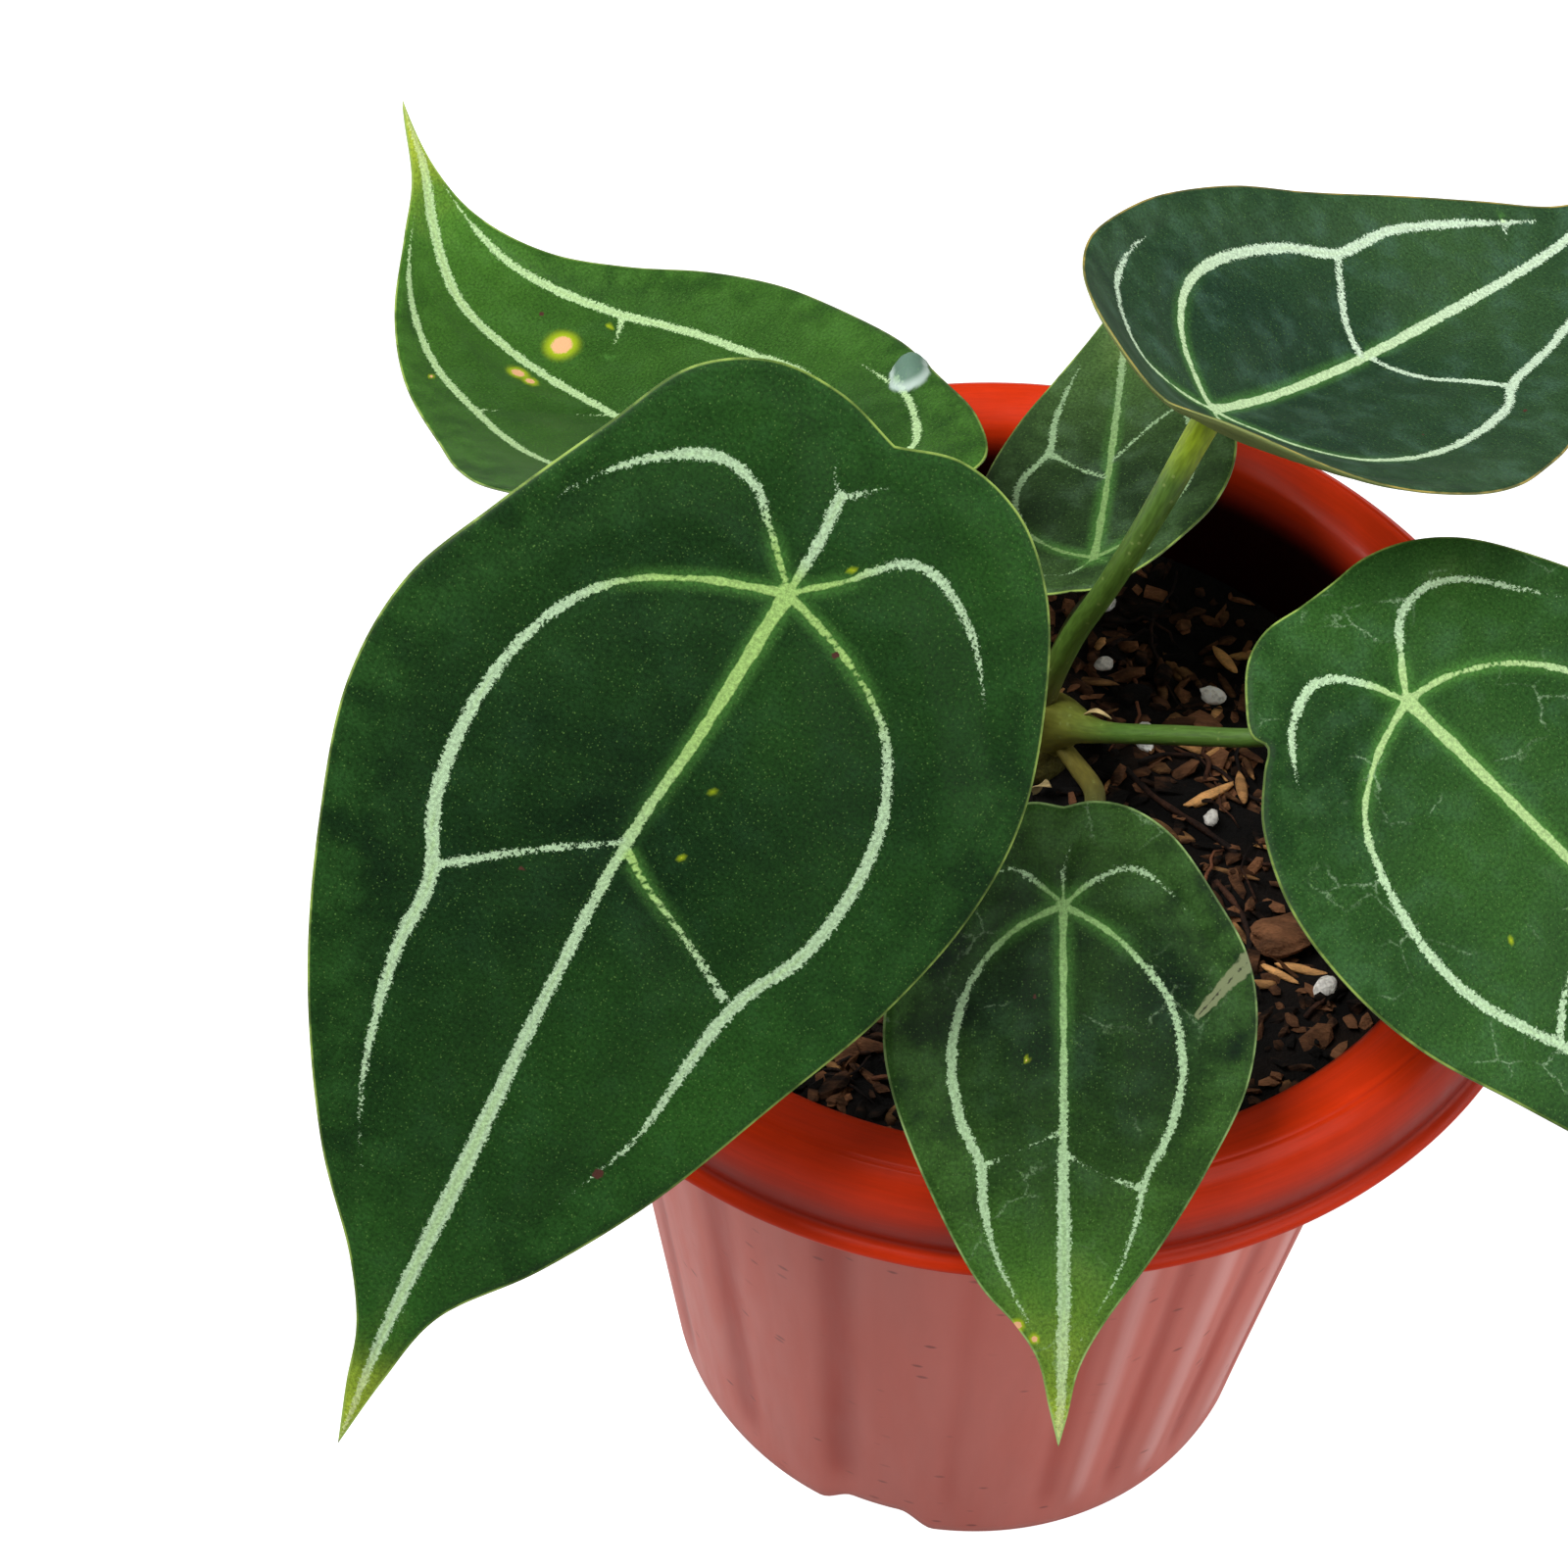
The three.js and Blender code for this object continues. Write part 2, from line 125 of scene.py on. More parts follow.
def smooth(low: float, high: float, value: Array) -> Array:
    """An S-shaped rise from 0 at low to 1 at high."""
    t = np.clip((np.asarray(value, float) - low) / (high - low), 0, 1)
    return t * t * (3 - 2 * t)


class Grain:
    """Smooth random noise over space, the same each time for the same seed."""

    def __init__(self, seed: int, cells: int = 24) -> None:
        """Fills a wrapped lattice of random values.

        Args:
            seed: The seed of the random numbers.
            cells: Lattice cells before the noise repeats.
        """
        self.cells = cells
        self.lattice = np.random.default_rng(seed).uniform(-1, 1, (cells, cells, cells))

    def at(self, points: Array, size: float) -> Array:
        """Noise from -1 to 1: lattice values blended with an S-shaped weight along each axis.

        Args:
            points: Places, three numbers in the last axis.
            size: The size of one lattice cell, in the points' unit.
        Returns:
            One value per place.
        """
        scaled = np.asarray(points, float) / size
        base = np.floor(scaled).astype(int)
        part = scaled - base
        part = part * part * (3 - 2 * part)
        total = np.zeros(scaled.shape[:-1])
        for corner in np.ndindex(2, 2, 2):
            shift = np.array(corner)
            weight = np.prod(np.where(shift, part, 1 - part), axis=-1)
            cell = (base + shift) % self.cells
            total += weight * self.lattice[cell[..., 0], cell[..., 1], cell[..., 2]]
        return total


@dataclass
class Surface:
    """A mesh as whole arrays: places in millimetres, four- and three-sided faces, and marks."""

    points: Array
    quads: Array
    tris: Array
    marks: dict[str, Array] = field(default_factory=dict)
    chart: Array | None = None

    def outward(self) -> "Surface":
        """Turns the surface over if its enclosed volume comes out negative.

        The volume is a sixth of the sum, over all triangles, of corner a dotted with b cross c.

        Returns:
            This surface.
        """
        fans = np.vstack([self.quads[:, [0, 1, 2]], self.quads[:, [0, 2, 3]], self.tris])
        a, b, c = (self.points[fans[:, k]] for k in range(3))
        if np.einsum("ij,ij->i", a, np.cross(b, c)).sum() < 0:
            self.quads = self.quads[:, ::-1]
            self.tris = self.tris[:, ::-1]
        return self

    def joined(self, other: "Surface") -> "Surface":
        """This surface and another as one, without welding them.

        Args:
            other: A surface with the same marks.
        Returns:
            The new surface.
        """
        shift = len(self.points)
        marks = {name: np.concatenate([self.marks[name], other.marks[name]]) for name in self.marks}
        return Surface(
            np.vstack([self.points, other.points]),
            np.vstack([self.quads, other.quads + shift]),
            np.vstack([self.tris, other.tris + shift]),
            marks,
        )

    def build(self, name: str, finish: Finish, even: bool = True) -> Thing:
        """Puts the surface into a new Blender object at the origin.

        Args:
            name: The object's name.
            finish: Its material.
            even: Whether its faces are shaded smooth.
        Returns:
            The object, linked into the scene.
        """
        mesh = bpy.data.meshes.new(name)
        mesh.vertices.add(len(self.points))
        mesh.vertices.foreach_set("co", np.ravel(self.points * MM))
        corners = np.concatenate([self.quads.ravel(), self.tris.ravel()]).astype(np.int32)
        count = len(self.quads) + len(self.tris)
        starts = np.concatenate([
            np.arange(len(self.quads)) * 4,
            len(self.quads) * 4 + np.arange(len(self.tris)) * 3,
        ]).astype(np.int32)
        mesh.loops.add(len(corners))
        mesh.loops.foreach_set("vertex_index", corners)
        mesh.polygons.add(count)
        mesh.polygons.foreach_set("loop_start", starts)
        mesh.polygons.foreach_set("use_smooth", np.full(count, even))
        mesh.update(calc_edges=True)
        for mark, values in self.marks.items():
            mesh.attributes.new(mark, "FLOAT", "POINT").data.foreach_set(
                "value", np.asarray(values, np.float32))
        if self.chart is not None:
            mesh.uv_layers.new(name="chart").data.foreach_set("uv", self.chart[corners].ravel())
        mesh.materials.append(finish)
        made = bpy.data.objects.new(name, mesh)
        bpy.context.scene.collection.objects.link(made)
        return made


def skin(rings: Array, start: Array, end: Array) -> Surface:
    """A closed skin over a row of closed rings, with a single point at each end.

    Args:
        rings: Places, as ring by point by axis.
        start: The point before the first ring.
        end: The point after the last ring.
    Returns:
        The surface. Its points are the rings in order, then the two end points.
    """
    count, around, _ = rings.shape
    index = np.arange(count * around).reshape(count, around)
    after = np.roll(index, -1, axis=1)
    quads = np.stack([index[:-1], after[:-1], after[1:], index[1:]], axis=-1).reshape(-1, 4)
    first = np.full(around, count * around)
    caps = np.vstack([
        np.stack([first, after[0], index[0]], axis=-1),
        np.stack([first + 1, index[-1], after[-1]], axis=-1),
    ])
    points = np.vstack([rings.reshape(-1, 3), start, end])
    return Surface(points, quads, caps).outward()


def swept(path: Array, radii: Array, sides: int, flatten: float = 1.0) -> Surface:
    """A round rod along a path: rings in planes square to the path, turned as little as can be.

    The ring directions start from the vertical crossed with the path and are carried along by
    removing, at each step, their part along the path.

    Args:
        path: Points along the rod.
        radii: The radius at each point.
        sides: Points in each ring.
        flatten: The rod's height over its width.
    Returns:
        The closed surface, with marks along (0 to 1) and around (0 to 1).
    """
    tangent = np.gradient(path, axis=0)
    tangent /= np.linalg.norm(tangent, axis=1, keepdims=True)
    side = np.cross(tangent[0], (0.13, 0.21, 1.0))
    frames = np.empty_like(path)
    for step, along in enumerate(tangent):
        side = side - along * np.dot(side, along)
        side = side / np.linalg.norm(side)
        frames[step] = side
    other = np.cross(tangent, frames) * flatten
    angle = np.linspace(0, 2 * pi, sides, endpoint=False)
    ring = (frames[:, None] * np.cos(angle)[None, :, None]
            + other[:, None] * np.sin(angle)[None, :, None])
    rings = path[:, None] + ring * np.asarray(radii)[:, None, None]
    made = skin(rings, path[:1], path[-1:])
    along = np.repeat(np.linspace(0, 1, len(path)), sides)
    made.marks["along"] = np.concatenate([along, [0.0, 1.0]])
    made.marks["around"] = np.concatenate([np.tile(angle / (2 * pi), len(path)), [0.0, 0.0]])
    return made


def icosahedron() -> Surface:
    """A regular icosahedron of unit radius, on the corners of three golden rectangles.

    Returns:
        The closed surface.
    """
    g = (1 + 5 ** 0.5) / 2
    corners = [(0, 1, g), (0, 1, -g), (0, -1, g), (0, -1, -g), (1, g, 0), (1, -g, 0),
               (-1, g, 0), (-1, -g, 0), (g, 0, 1), (-g, 0, 1), (g, 0, -1), (-g, 0, -1)]
    faces = [(0, 2, 8), (0, 8, 4), (0, 4, 6), (0, 6, 9), (0, 9, 2), (2, 9, 7), (2, 7, 5),
             (2, 5, 8), (8, 5, 10), (8, 10, 4), (4, 10, 1), (4, 1, 6), (6, 1, 11), (6, 11, 9),
             (9, 11, 7), (7, 11, 3), (7, 3, 5), (5, 3, 10), (10, 3, 1), (11, 1, 3)]
    return Surface(np.array(corners) / np.hypot(1, g), np.empty((0, 4), int), np.array(faces))


def round_lump(rings: int, sides: int) -> Surface:
    """A unit ball as rings of latitude, for lumps that noise then shapes.

    Args:
        rings: Rings between the poles.
        sides: Points in each ring.
    Returns:
        The ball.
    """
    tilt = np.linspace(0, pi, rings + 2)[1:-1]
    angle = np.linspace(0, 2 * pi, sides, endpoint=False)
    ball = np.stack([
        np.sin(tilt)[:, None] * np.cos(angle),
        np.sin(tilt)[:, None] * np.sin(angle),
        np.repeat(np.cos(tilt)[:, None], sides, axis=1),
    ], axis=-1)
    return skin(ball, np.array([[0.0, 0.0, 1.0]]), np.array([[0.0, 0.0, -1.0]]))


def boxed(points: Array, power: float) -> Array:
    """A unit ball's points, squarer for a lower power: each coordinate's size to that power."""
    return np.sign(points) * np.abs(points) ** power


def spread(shape: Surface, places: Array, halves: Array, turns: Array, wear: Array) -> Surface:
    """Many copies of a small shape as one surface, each scaled, turned and placed.

    A copy's point is the shape's point times its wear and half sizes, turned about x, then y,
    then z, and moved to its place.

    Args:
        shape: The small shape, about one unit in radius.
        places: Copy centres, one per row.
        halves: Half sizes along the copy's axes, one per row.
        turns: Turns about x, y and z in radians, one per row.
        wear: A factor for each copy's every point.
    Returns:
        The surface, with a mark kind that holds a random-looking number from 0 to 1 per copy.
    """
    local = shape.points[None] * wear[..., None] * halves[:, None]
    for axis in range(3):
        c, s = np.cos(turns[:, axis])[:, None], np.sin(turns[:, axis])[:, None]
        j, k = (axis + 1) % 3, (axis + 2) % 3
        first, second = local[..., j].copy(), local[..., k].copy()
        local[..., j] = c * first - s * second
        local[..., k] = s * first + c * second
    points = (local + places[:, None]).reshape(-1, 3)
    shift = (np.arange(len(places)) * len(shape.points))[:, None, None]
    kind = np.repeat((np.arange(len(places)) * 0.618034) % 1, len(shape.points))
    return Surface(
        points,
        (shape.quads[None] + shift).reshape(-1, 4),
        (shape.tris[None] + shift).reshape(-1, 3),
        {"kind": kind},
    )


def distances(places: Array, line: Array) -> tuple[Array, Array]:
    """Distances from places to every stretch of a line, and where along each stretch they meet.

    Args:
        places: Places in the plane, one per row.
        line: Points of the line in the plane.
    Returns:
        Two arrays of place by stretch: the distance, and the share of the stretch, 0 to 1.
    """
    a, b = line[:-1], line[1:]
    reach = b - a
    offset = places[:, None] - a[None]
    square = np.maximum((reach ** 2).sum(-1), 1e-9)
    share = np.clip((offset * reach[None]).sum(-1) / square, 0, 1)
    gap = np.linalg.norm(offset - share[..., None] * reach[None], axis=-1)
    return gap, share


# Finishes


class Wiring:
    """Short ways to add and join shader nodes in one tree."""

    def __init__(self, tree: bpy.types.NodeTree) -> None:
        """Keeps the tree that nodes are added to."""
        self.tree = tree

    def feed(self, node: bpy.types.Node, **inputs: object) -> bpy.types.Node:
        """Sets or links a node's inputs.

        Args:
            node: The node.
            **inputs: Inputs by name, with _ for a space, or by number as i0, i1 and so on.
        Returns:
            The node.
        """
        for name, value in inputs.items():
            numbered = name[0] == "i" and name[1:].isdigit()
            socket = node.inputs[int(name[1:]) if numbered else name.replace("_", " ")]
            if isinstance(value, Socket):
                self.tree.links.new(value, socket)
            else:
                socket.default_value = value
        return node

    def add(self, kind: str, settings: dict | None = None, **inputs: object) -> bpy.types.Node:
        """Adds a node, sets its properties, and sets or links its inputs.

        Args:
            kind: The node's type name after its first word, ShaderNode.
            settings: Properties of the node.
            **inputs: Inputs, named as in feed.
        Returns:
            The node.
        """
        node = self.tree.nodes.new(f"ShaderNode{kind}")
        for name, value in (settings or {}).items():
            setattr(node, name, value)
        return self.feed(node, **inputs)

    def math(self, operation: str, *values: object) -> Socket:
        """One step of arithmetic on up to three values."""
        inputs = {f"i{k}": value for k, value in enumerate(values)}
        return self.add("Math", {"operation": operation}, **inputs).outputs[0]

    def times(self, first: object, second: object) -> Socket:
        """The product of two values."""
        return self.math("MULTIPLY", first, second)

    def sway(self, noise: object, amount: object, base: object) -> Socket:
        """The base plus the amount times the noise's distance from its middle, 0.5."""
        return self.math("MULTIPLY_ADD", self.math("SUBTRACT", noise, 0.5), amount, base)

    def ramp(self, value: object, low: float, high: float, start: float = 0.0,
             end: float = 1.0) -> Socket:
        """Carries value smoothly from start at low to end at high."""
        return self.add("MapRange", {"interpolation_type": "SMOOTHSTEP"},
                        i0=value, i1=low, i2=high, i3=start, i4=end).outputs[0]

    def mix(self, share: object, first: object, second: object) -> Socket:
        """Mixes two colours by a share from 0 to 1."""
        return self.add("Mix", {"data_type": "RGBA"}, i0=share, i6=first, i7=second).outputs[2]

    def dim(self, colour: object, factor: object) -> Socket:
        """A colour times a value."""
        return self.add("VectorMath", {"operation": "SCALE"}, i0=colour, Scale=factor).outputs[0]

    def noise(self, where: object, scale: object, detail: float = 2.0,
              rough: float = 0.55) -> Socket:
        """Fractal noise around 0.5, with scale in features per metre."""
        return self.add("TexNoise", None, Vector=where, Scale=scale, Detail=detail,
                        Roughness=rough).outputs[0]

    def stretched(self, where: object, *factors: float) -> Socket:
        """Places times a factor along each axis, which makes noise finer along it."""
        return self.add("Mapping", None, Vector=where, Scale=factors).outputs[0]

    def point(self, across: object, along: object, up: object = 0.0) -> Socket:
        """A place from its three values."""
        return self.add("CombineXYZ", None, X=across, Y=along, Z=up).outputs[0]

    def group(self, tree: bpy.types.NodeTree, **inputs: object) -> Socket:
        """The first output of a node group."""
        return self.add("Group", {"node_tree": tree}, **inputs).outputs[0]

    def bump(self, height: object, strength: float, distance: float) -> Socket:
        """The normal of a relief whose height is given, at most distance metres high."""
        return self.add("Bump", None, Height=height, Strength=strength,
                        Distance=distance).outputs[0]

    def mark(self, name: str) -> Socket:
        """Reads a mark that the mesh carries at its points."""
        return self.add("Attribute", {"attribute_name": name}).outputs["Fac"]

    def place(self) -> Socket:
        """Object coordinates, in metres."""
        return self.add("TexCoord").outputs["Object"]


def new_group(name: str, ins: dict[str, object], outs: tuple[str, ...]) -> tuple:
    """Starts a shader node group with named inputs and outputs.

    Args:
        name: The group's name.
        ins: Input names and first values: none for a place, four numbers for a colour, or one.
        outs: Output names. Color is a colour, and any other name is a value.
    Returns:
        The group, its wiring, the sockets that carry its inputs, and its output node.
    """
    group = bpy.data.node_groups.new(name, "ShaderNodeTree")
    for label, value in ins.items():
        kind = {type(None): "Vector", tuple: "Color"}.get(type(value), "Float")
        socket = group.interface.new_socket(label, in_out="INPUT", socket_type=f"NodeSocket{kind}")
        if value is not None:
            socket.default_value = value
    for label in outs:
        kind = "Color" if label == "Color" else "Float"
        group.interface.new_socket(label, in_out="OUTPUT", socket_type=f"NodeSocket{kind}")
    given = group.nodes.new("NodeGroupInput").outputs
    return group, Wiring(group), given, group.nodes.new("NodeGroupOutput")


class Effects:
    """Node groups that several finishes share, each built once."""

    def __init__(self) -> None:
        """Builds the groups."""
        self.mottle = self._mottle()
        self.specks = self._specks()
        self.leaf = LeafSkin(self.specks).build()

    @staticmethod
    def _mottle() -> bpy.types.NodeTree:
        """Uneven colour: large soft patches and fine grain that lighten and darken a colour.

        The colour is scaled by 1, plus twice each noise's distance from 0.5 times its amount.

        Returns:
            The group.
        """
        group, w, given, target = new_group(
            "Mottle",
            {"Vector": None, "Color": (0.5, 0.5, 0.5, 1.0), "Patch Scale": 40.0,
             "Grain Scale": 600.0, "Patches": 0.3, "Grain": 0.2}, ("Color",))
        value = 1.0
        for scale, amount in (("Patch Scale", "Patches"), ("Grain Scale", "Grain")):
            noise = w.noise(given["Vector"], given[scale], 3.0, 0.5)
            value = w.sway(noise, w.times(given[amount], 2.0), value)
        w.feed(target, Color=w.dim(given["Color"], value))
        return group

    @staticmethod
    def _specks() -> bpy.types.NodeTree:
        """Scattered small specks: a mask that is 1 in the middle of each speck.

        A speck fills the given size of its Voronoi cell, in the given share of the cells.

        Returns:
            The group.
        """
        group, w, given, target = new_group(
            "Specks", {"Vector": None, "Scale": 900.0, "Size": 0.12, "Share": 0.5}, ("Mask",))
        cell = w.add("TexVoronoi", None, Vector=given["Vector"], Scale=given["Scale"]).outputs
        near = w.math("SUBTRACT", 1.0, w.math("DIVIDE", cell["Distance"], given["Size"]))
        number = w.add("SeparateColor", None, Color=cell["Color"]).outputs[0]
        keep = w.math("LESS_THAN", number, given["Share"])
        w.feed(target, Mask=w.times(w.ramp(near, 0.0, 0.6), keep))
        return group


@dataclass
class LeafSkin:
    """The skin that all blades share, a node group put together from layers.

    The mesh carries, in millimetres, how far each point is outside the nearest vein's edge
    (vein_edge) and inside the leaf's margin (margin). Noise moves the vein edge to and fro, which
    gives its ragged outline, and breaks the vein up where its strength (vein_gain) falls.
    Scales are in features per metre, and colours that differ from leaf to leaf are inputs.
    """

    specks: bpy.types.NodeTree
    patch_scale: float = 45.0
    blotch_scale: float = 170.0
    fine_scale: float = 2200.0
    tooth_scale: float = 2300.0
    swell_scale: float = 330.0
    gap_scale: float = 700.0
    wear_scale: float = 900.0
    drift_scale: float = 240.0
    scratch_scale: float = 125.0
    scratch_drift: float = 0.0035
    scratch_patches: float = 85.0
    line_scale: float = 0.55
    small_specks: Point3 = (2900.0, 0.36, 0.3)
    large_specks: Point3 = (1150.0, 0.17, 0.22)
    ripe_vein: Colour = tone(204, 208, 110)
    blister: Colour = tone(120, 150, 140)
    blister_highlight: Colour = tone(206, 222, 214)
    scar: Colour = tone(124, 132, 96)
    scar_middle: Colour = tone(46, 46, 34)
    halo: Colour = tone(164, 184, 22)
    dead_speck: Colour = tone(74, 44, 36)
    dry_spot: Colour = tone(222, 170, 124)

    def __post_init__(self) -> None:
        """Starts the group, and adds the marks and the noises that several layers read."""
        shades = ("Deep", "Light", "Young", "Silver", "Rim", "Under", "Haze", "Ripe")
        self.tree, self.w, self.given, self.target = new_group(
            "Leaf Skin",
            {"Vector": None, **dict.fromkeys(shades, tone(80, 110, 60)),
             "Glow": tone(84, 142, 60), "Speck": tone(84, 118, 56),
             "Haze Amount": 0.3, "Speck Amount": 0.5, "Chalk Amount": 0.1},
            ("Color", "Roughness", "Height"))
        w = self.w
        where = self.given["Vector"]
        self.marks = {name: w.mark(name) for name in (
            "vein_edge", "vein_gain", "vein_pale", "margin", "under", "spot", "halo", "rank",
            "tint", "scar", "blister")}
        self.blotch = w.noise(where, self.blotch_scale, 4.0)
        self.fine = w.noise(where, self.fine_scale, 3.0, 0.7)
        self.tooth = w.noise(where, self.tooth_scale, 4.0, 0.7)
        self.ripe = w.ramp(w.sway(self.blotch, 0.8, self.marks["tint"]), 0.5, 2.0)
        self.fresh = w.math("SUBTRACT", 1.0, self.marks["vein_pale"])

    def _ground(self) -> Socket:
        """The skin between the veins.

        From the lowest layer up: patches of two greens, a lighter rim, patches of painted sheen,
        the fine lines between veins, a glow beside young veins, ripe places, specks and scratches.

        Returns:
            The colour.
        """
        w, given, marks = self.w, self.given, self.marks
        where = given["Vector"]
        patch = w.noise(where, self.patch_scale, 3.0)
        share = w.math("ADD", w.ramp(patch, 0.3, 0.72, 0.16, 0.44), marks["tint"])
        share = w.sway(self.blotch, 0.3, share)
        share = w.math("MINIMUM", w.math("MAXIMUM", share, 0.0), 1.0)
        ground = w.mix(share, given["Deep"], given["Light"])
        rim = w.times(w.ramp(marks["margin"], 1.0, 13.0, 0.5, 0.0),
                      w.ramp(self.blotch, 0.35, 0.65))
        ground = w.mix(rim, ground, given["Light"])
        # Painted sheen: blotchy patches of pale bluish green in place of the velvet's shine.
        haze = w.times(w.ramp(self.blotch, 0.45, 0.75), given["Haze Amount"])
        ground = w.mix(haze, ground, given["Haze"])
        lines = w.add("TexNoise", {"noise_dimensions": "1D"}, W=marks["rank"],
                      Scale=self.line_scale, Detail=3.0).outputs[0]
        ground = w.mix(w.ramp(lines, 0.5, 0.75, 0.0, 0.05), ground, given["Light"])
        glow = w.times(w.ramp(marks["vein_edge"], -0.2, 1.7, 0.37, 0.0),
                       w.times(self.fresh, self.fresh))
        ground = w.mix(glow, ground, given["Glow"])
        ground = w.mix(w.times(self.ripe, 0.88), ground, given["Ripe"])
        small, large = (
            w.group(self.specks, Vector=where, Scale=scale, Size=size, Share=part)
            for scale, size, part in (self.small_specks, self.large_specks))
        speck = w.times(w.math("MAXIMUM", small, w.times(large, 1.4)), given["Speck Amount"])
        ground = w.mix(speck, ground, given["Speck"])
        ground = w.mix(self._scratches(), ground, given["Silver"])
        return w.dim(ground, w.ramp(self.fine, 0.25, 0.75, 0.6, 1.45))

    def _scratches(self) -> Socket:
        """Thin broken lines: the borders of drifting cells, seen only in some patches.

        Returns:
            How strong the lines are.
        """
        w, where = self.w, self.given["Vector"]
        drift = w.add("TexNoise", None, Vector=where, Scale=self.drift_scale,
                      Detail=3.0).outputs["Color"]
        moved = w.add("Mix", {"data_type": "VECTOR"}, i0=self.scratch_drift, i4=where,
                      i5=drift).outputs[1]
        border = w.add("TexVoronoi", {"feature": "DISTANCE_TO_EDGE"}, Vector=moved,
                       Scale=self.scratch_scale).outputs["Distance"]
        line = w.times(w.ramp(border, 0.006, 0.03, 1.0, 0.0),
                       w.ramp(w.noise(where, self.scratch_patches), 0.52, 0.66))
        return w.times(w.times(line, w.ramp(self.tooth, 0.42, 0.58)), self.given["Chalk Amount"])

    def _veins(self) -> tuple[Socket, Socket]:
        """The ragged veins, silver with a green cord in the middle, or green while young.

        Returns:
            Where the veins are, from 0 to 1, and their colour.
        """
        w, given, marks = self.w, self.given, self.marks
        where, edge = given["Vector"], marks["vein_edge"]
        rag = w.sway(self.tooth, w.ramp(marks["vein_pale"], 0.0, 1.0, 0.35, 2.1), edge)
        rag = w.sway(w.noise(where, self.swell_scale), 0.7, rag)
        lost = w.math("SUBTRACT", 1.0, marks["vein_gain"])
        rag = w.math("MULTIPLY_ADD", lost, 1.6, rag)
        whole = w.ramp(w.math("SUBTRACT", w.noise(where, self.gap_scale, 3.0), lost), -0.12, 0.0)
        mask = w.times(w.ramp(rag, -0.12, 0.12, 1.0, 0.0), whole)
        cord = w.ramp(edge, -0.75, -0.35, 1.0, 0.0)
        green = w.math("MAXIMUM", self.fresh, w.times(cord, 0.35))
        colour = w.mix(green, given["Silver"], given["Young"])
        colour = w.mix(w.times(self.ripe, 0.6), colour, self.ripe_vein)
        return mask, w.dim(colour, w.ramp(self.fine, 0.3, 0.7, 0.66, 1.22))

    def _wounds(self, colour: Socket) -> Socket:
        """Lays the blister, its painted highlight ring, the scar, and haloed spots over a colour.

        Args:
            colour: The colour of the sound skin.
        Returns:
            The colour with the wounds.
        """
        w, blister, halo, scar = self.w, *(self.marks[n] for n in ("blister", "halo", "scar"))
        # The painted highlight: a bright ring near the edge of the blister's dome.
        ring = w.times(w.ramp(blister, 0.0, 0.12), w.ramp(blister, 0.14, 0.4, 1.0, 0.0))
        worn = w.sway(w.noise(self.given["Vector"], self.wear_scale, 3.0),
                      w.times(w.ramp(scar, 0.0, 0.1), 0.9), scar)
        hurt = w.sway(self.tooth, 0.35, self.marks["spot"])
        centre = w.mix(w.math("GREATER_THAN", halo, 0.02), self.dead_speck, self.dry_spot)
        for share, laid in (
                (w.ramp(blister, 0.02, 0.1, 0.0, 0.55), self.blister),
                (w.times(ring, 0.6), self.blister_highlight),
                (w.ramp(worn, 0.1, 0.35, 0.0, 0.85), self.scar),
                (w.ramp(worn, 0.85, 1.0, 0.0, 0.9), self.scar_middle),
                (w.times(halo, 0.85), self.halo),
                (w.ramp(hurt, 0.42, 0.56), centre)):
            colour = w.mix(share, colour, laid)
        return colour

    def _back(self) -> Socket:
        """The underside: pale, with paler ribs under the veins.

        Returns:
            The colour.
        """
        w, given = self.w, self.given
        ribs = w.ramp(self.marks["vein_edge"], 0.1, 1.9, 0.45, 0.0)
        back = w.mix(ribs, given["Under"], given["Silver"])
        return w.mix(w.ramp(self.blotch, 0.3, 0.8, 0.0, 0.35), back, given["Light"])

    def build(self) -> bpy.types.NodeTree:
        """Joins the layers: veins, margin line and wounds over the ground, or the underside.

        Returns:
            The group.
        """
        w, marks = self.w, self.marks
        mask, veins = self._veins()
        colour = w.mix(w.times(mask, 0.92), self._ground(), veins)
        line = w.times(w.ramp(marks["margin"], 0.14, 0.36, 0.9, 0.0),
                       w.ramp(self.blotch, 0.4, 0.62, 0.25, 1.0))
        colour = self._wounds(w.mix(line, colour, self.given["Rim"]))
        rough = w.math("ADD", w.ramp(self.fine, 0.3, 0.7, 0.44, 0.56), w.times(mask, 0.12))
        raised = w.times(mask, w.ramp(self.tooth, 0.3, 0.7, 0.2, 1.0))
        uneven = w.math("MULTIPLY_ADD", self.fine, 0.35, w.times(self.blotch, 0.8))
        w.feed(self.target, Color=w.mix(marks["under"], colour, self._back()), Roughness=rough,
               Height=w.math("MULTIPLY_ADD", raised, 0.6, uneven))
        return self.tree


def plain_material(name: str) -> tuple[Finish, Wiring, bpy.types.Node]:
    """Starts a material.

    Args:
        name: Its name.
    Returns:
        The material, its wiring and its one Principled shader.
    """
    material = bpy.data.materials.new(name)
    material.use_nodes = True
    shader = material.node_tree.nodes["Principled BSDF"]
    return material, Wiring(material.node_tree), shader


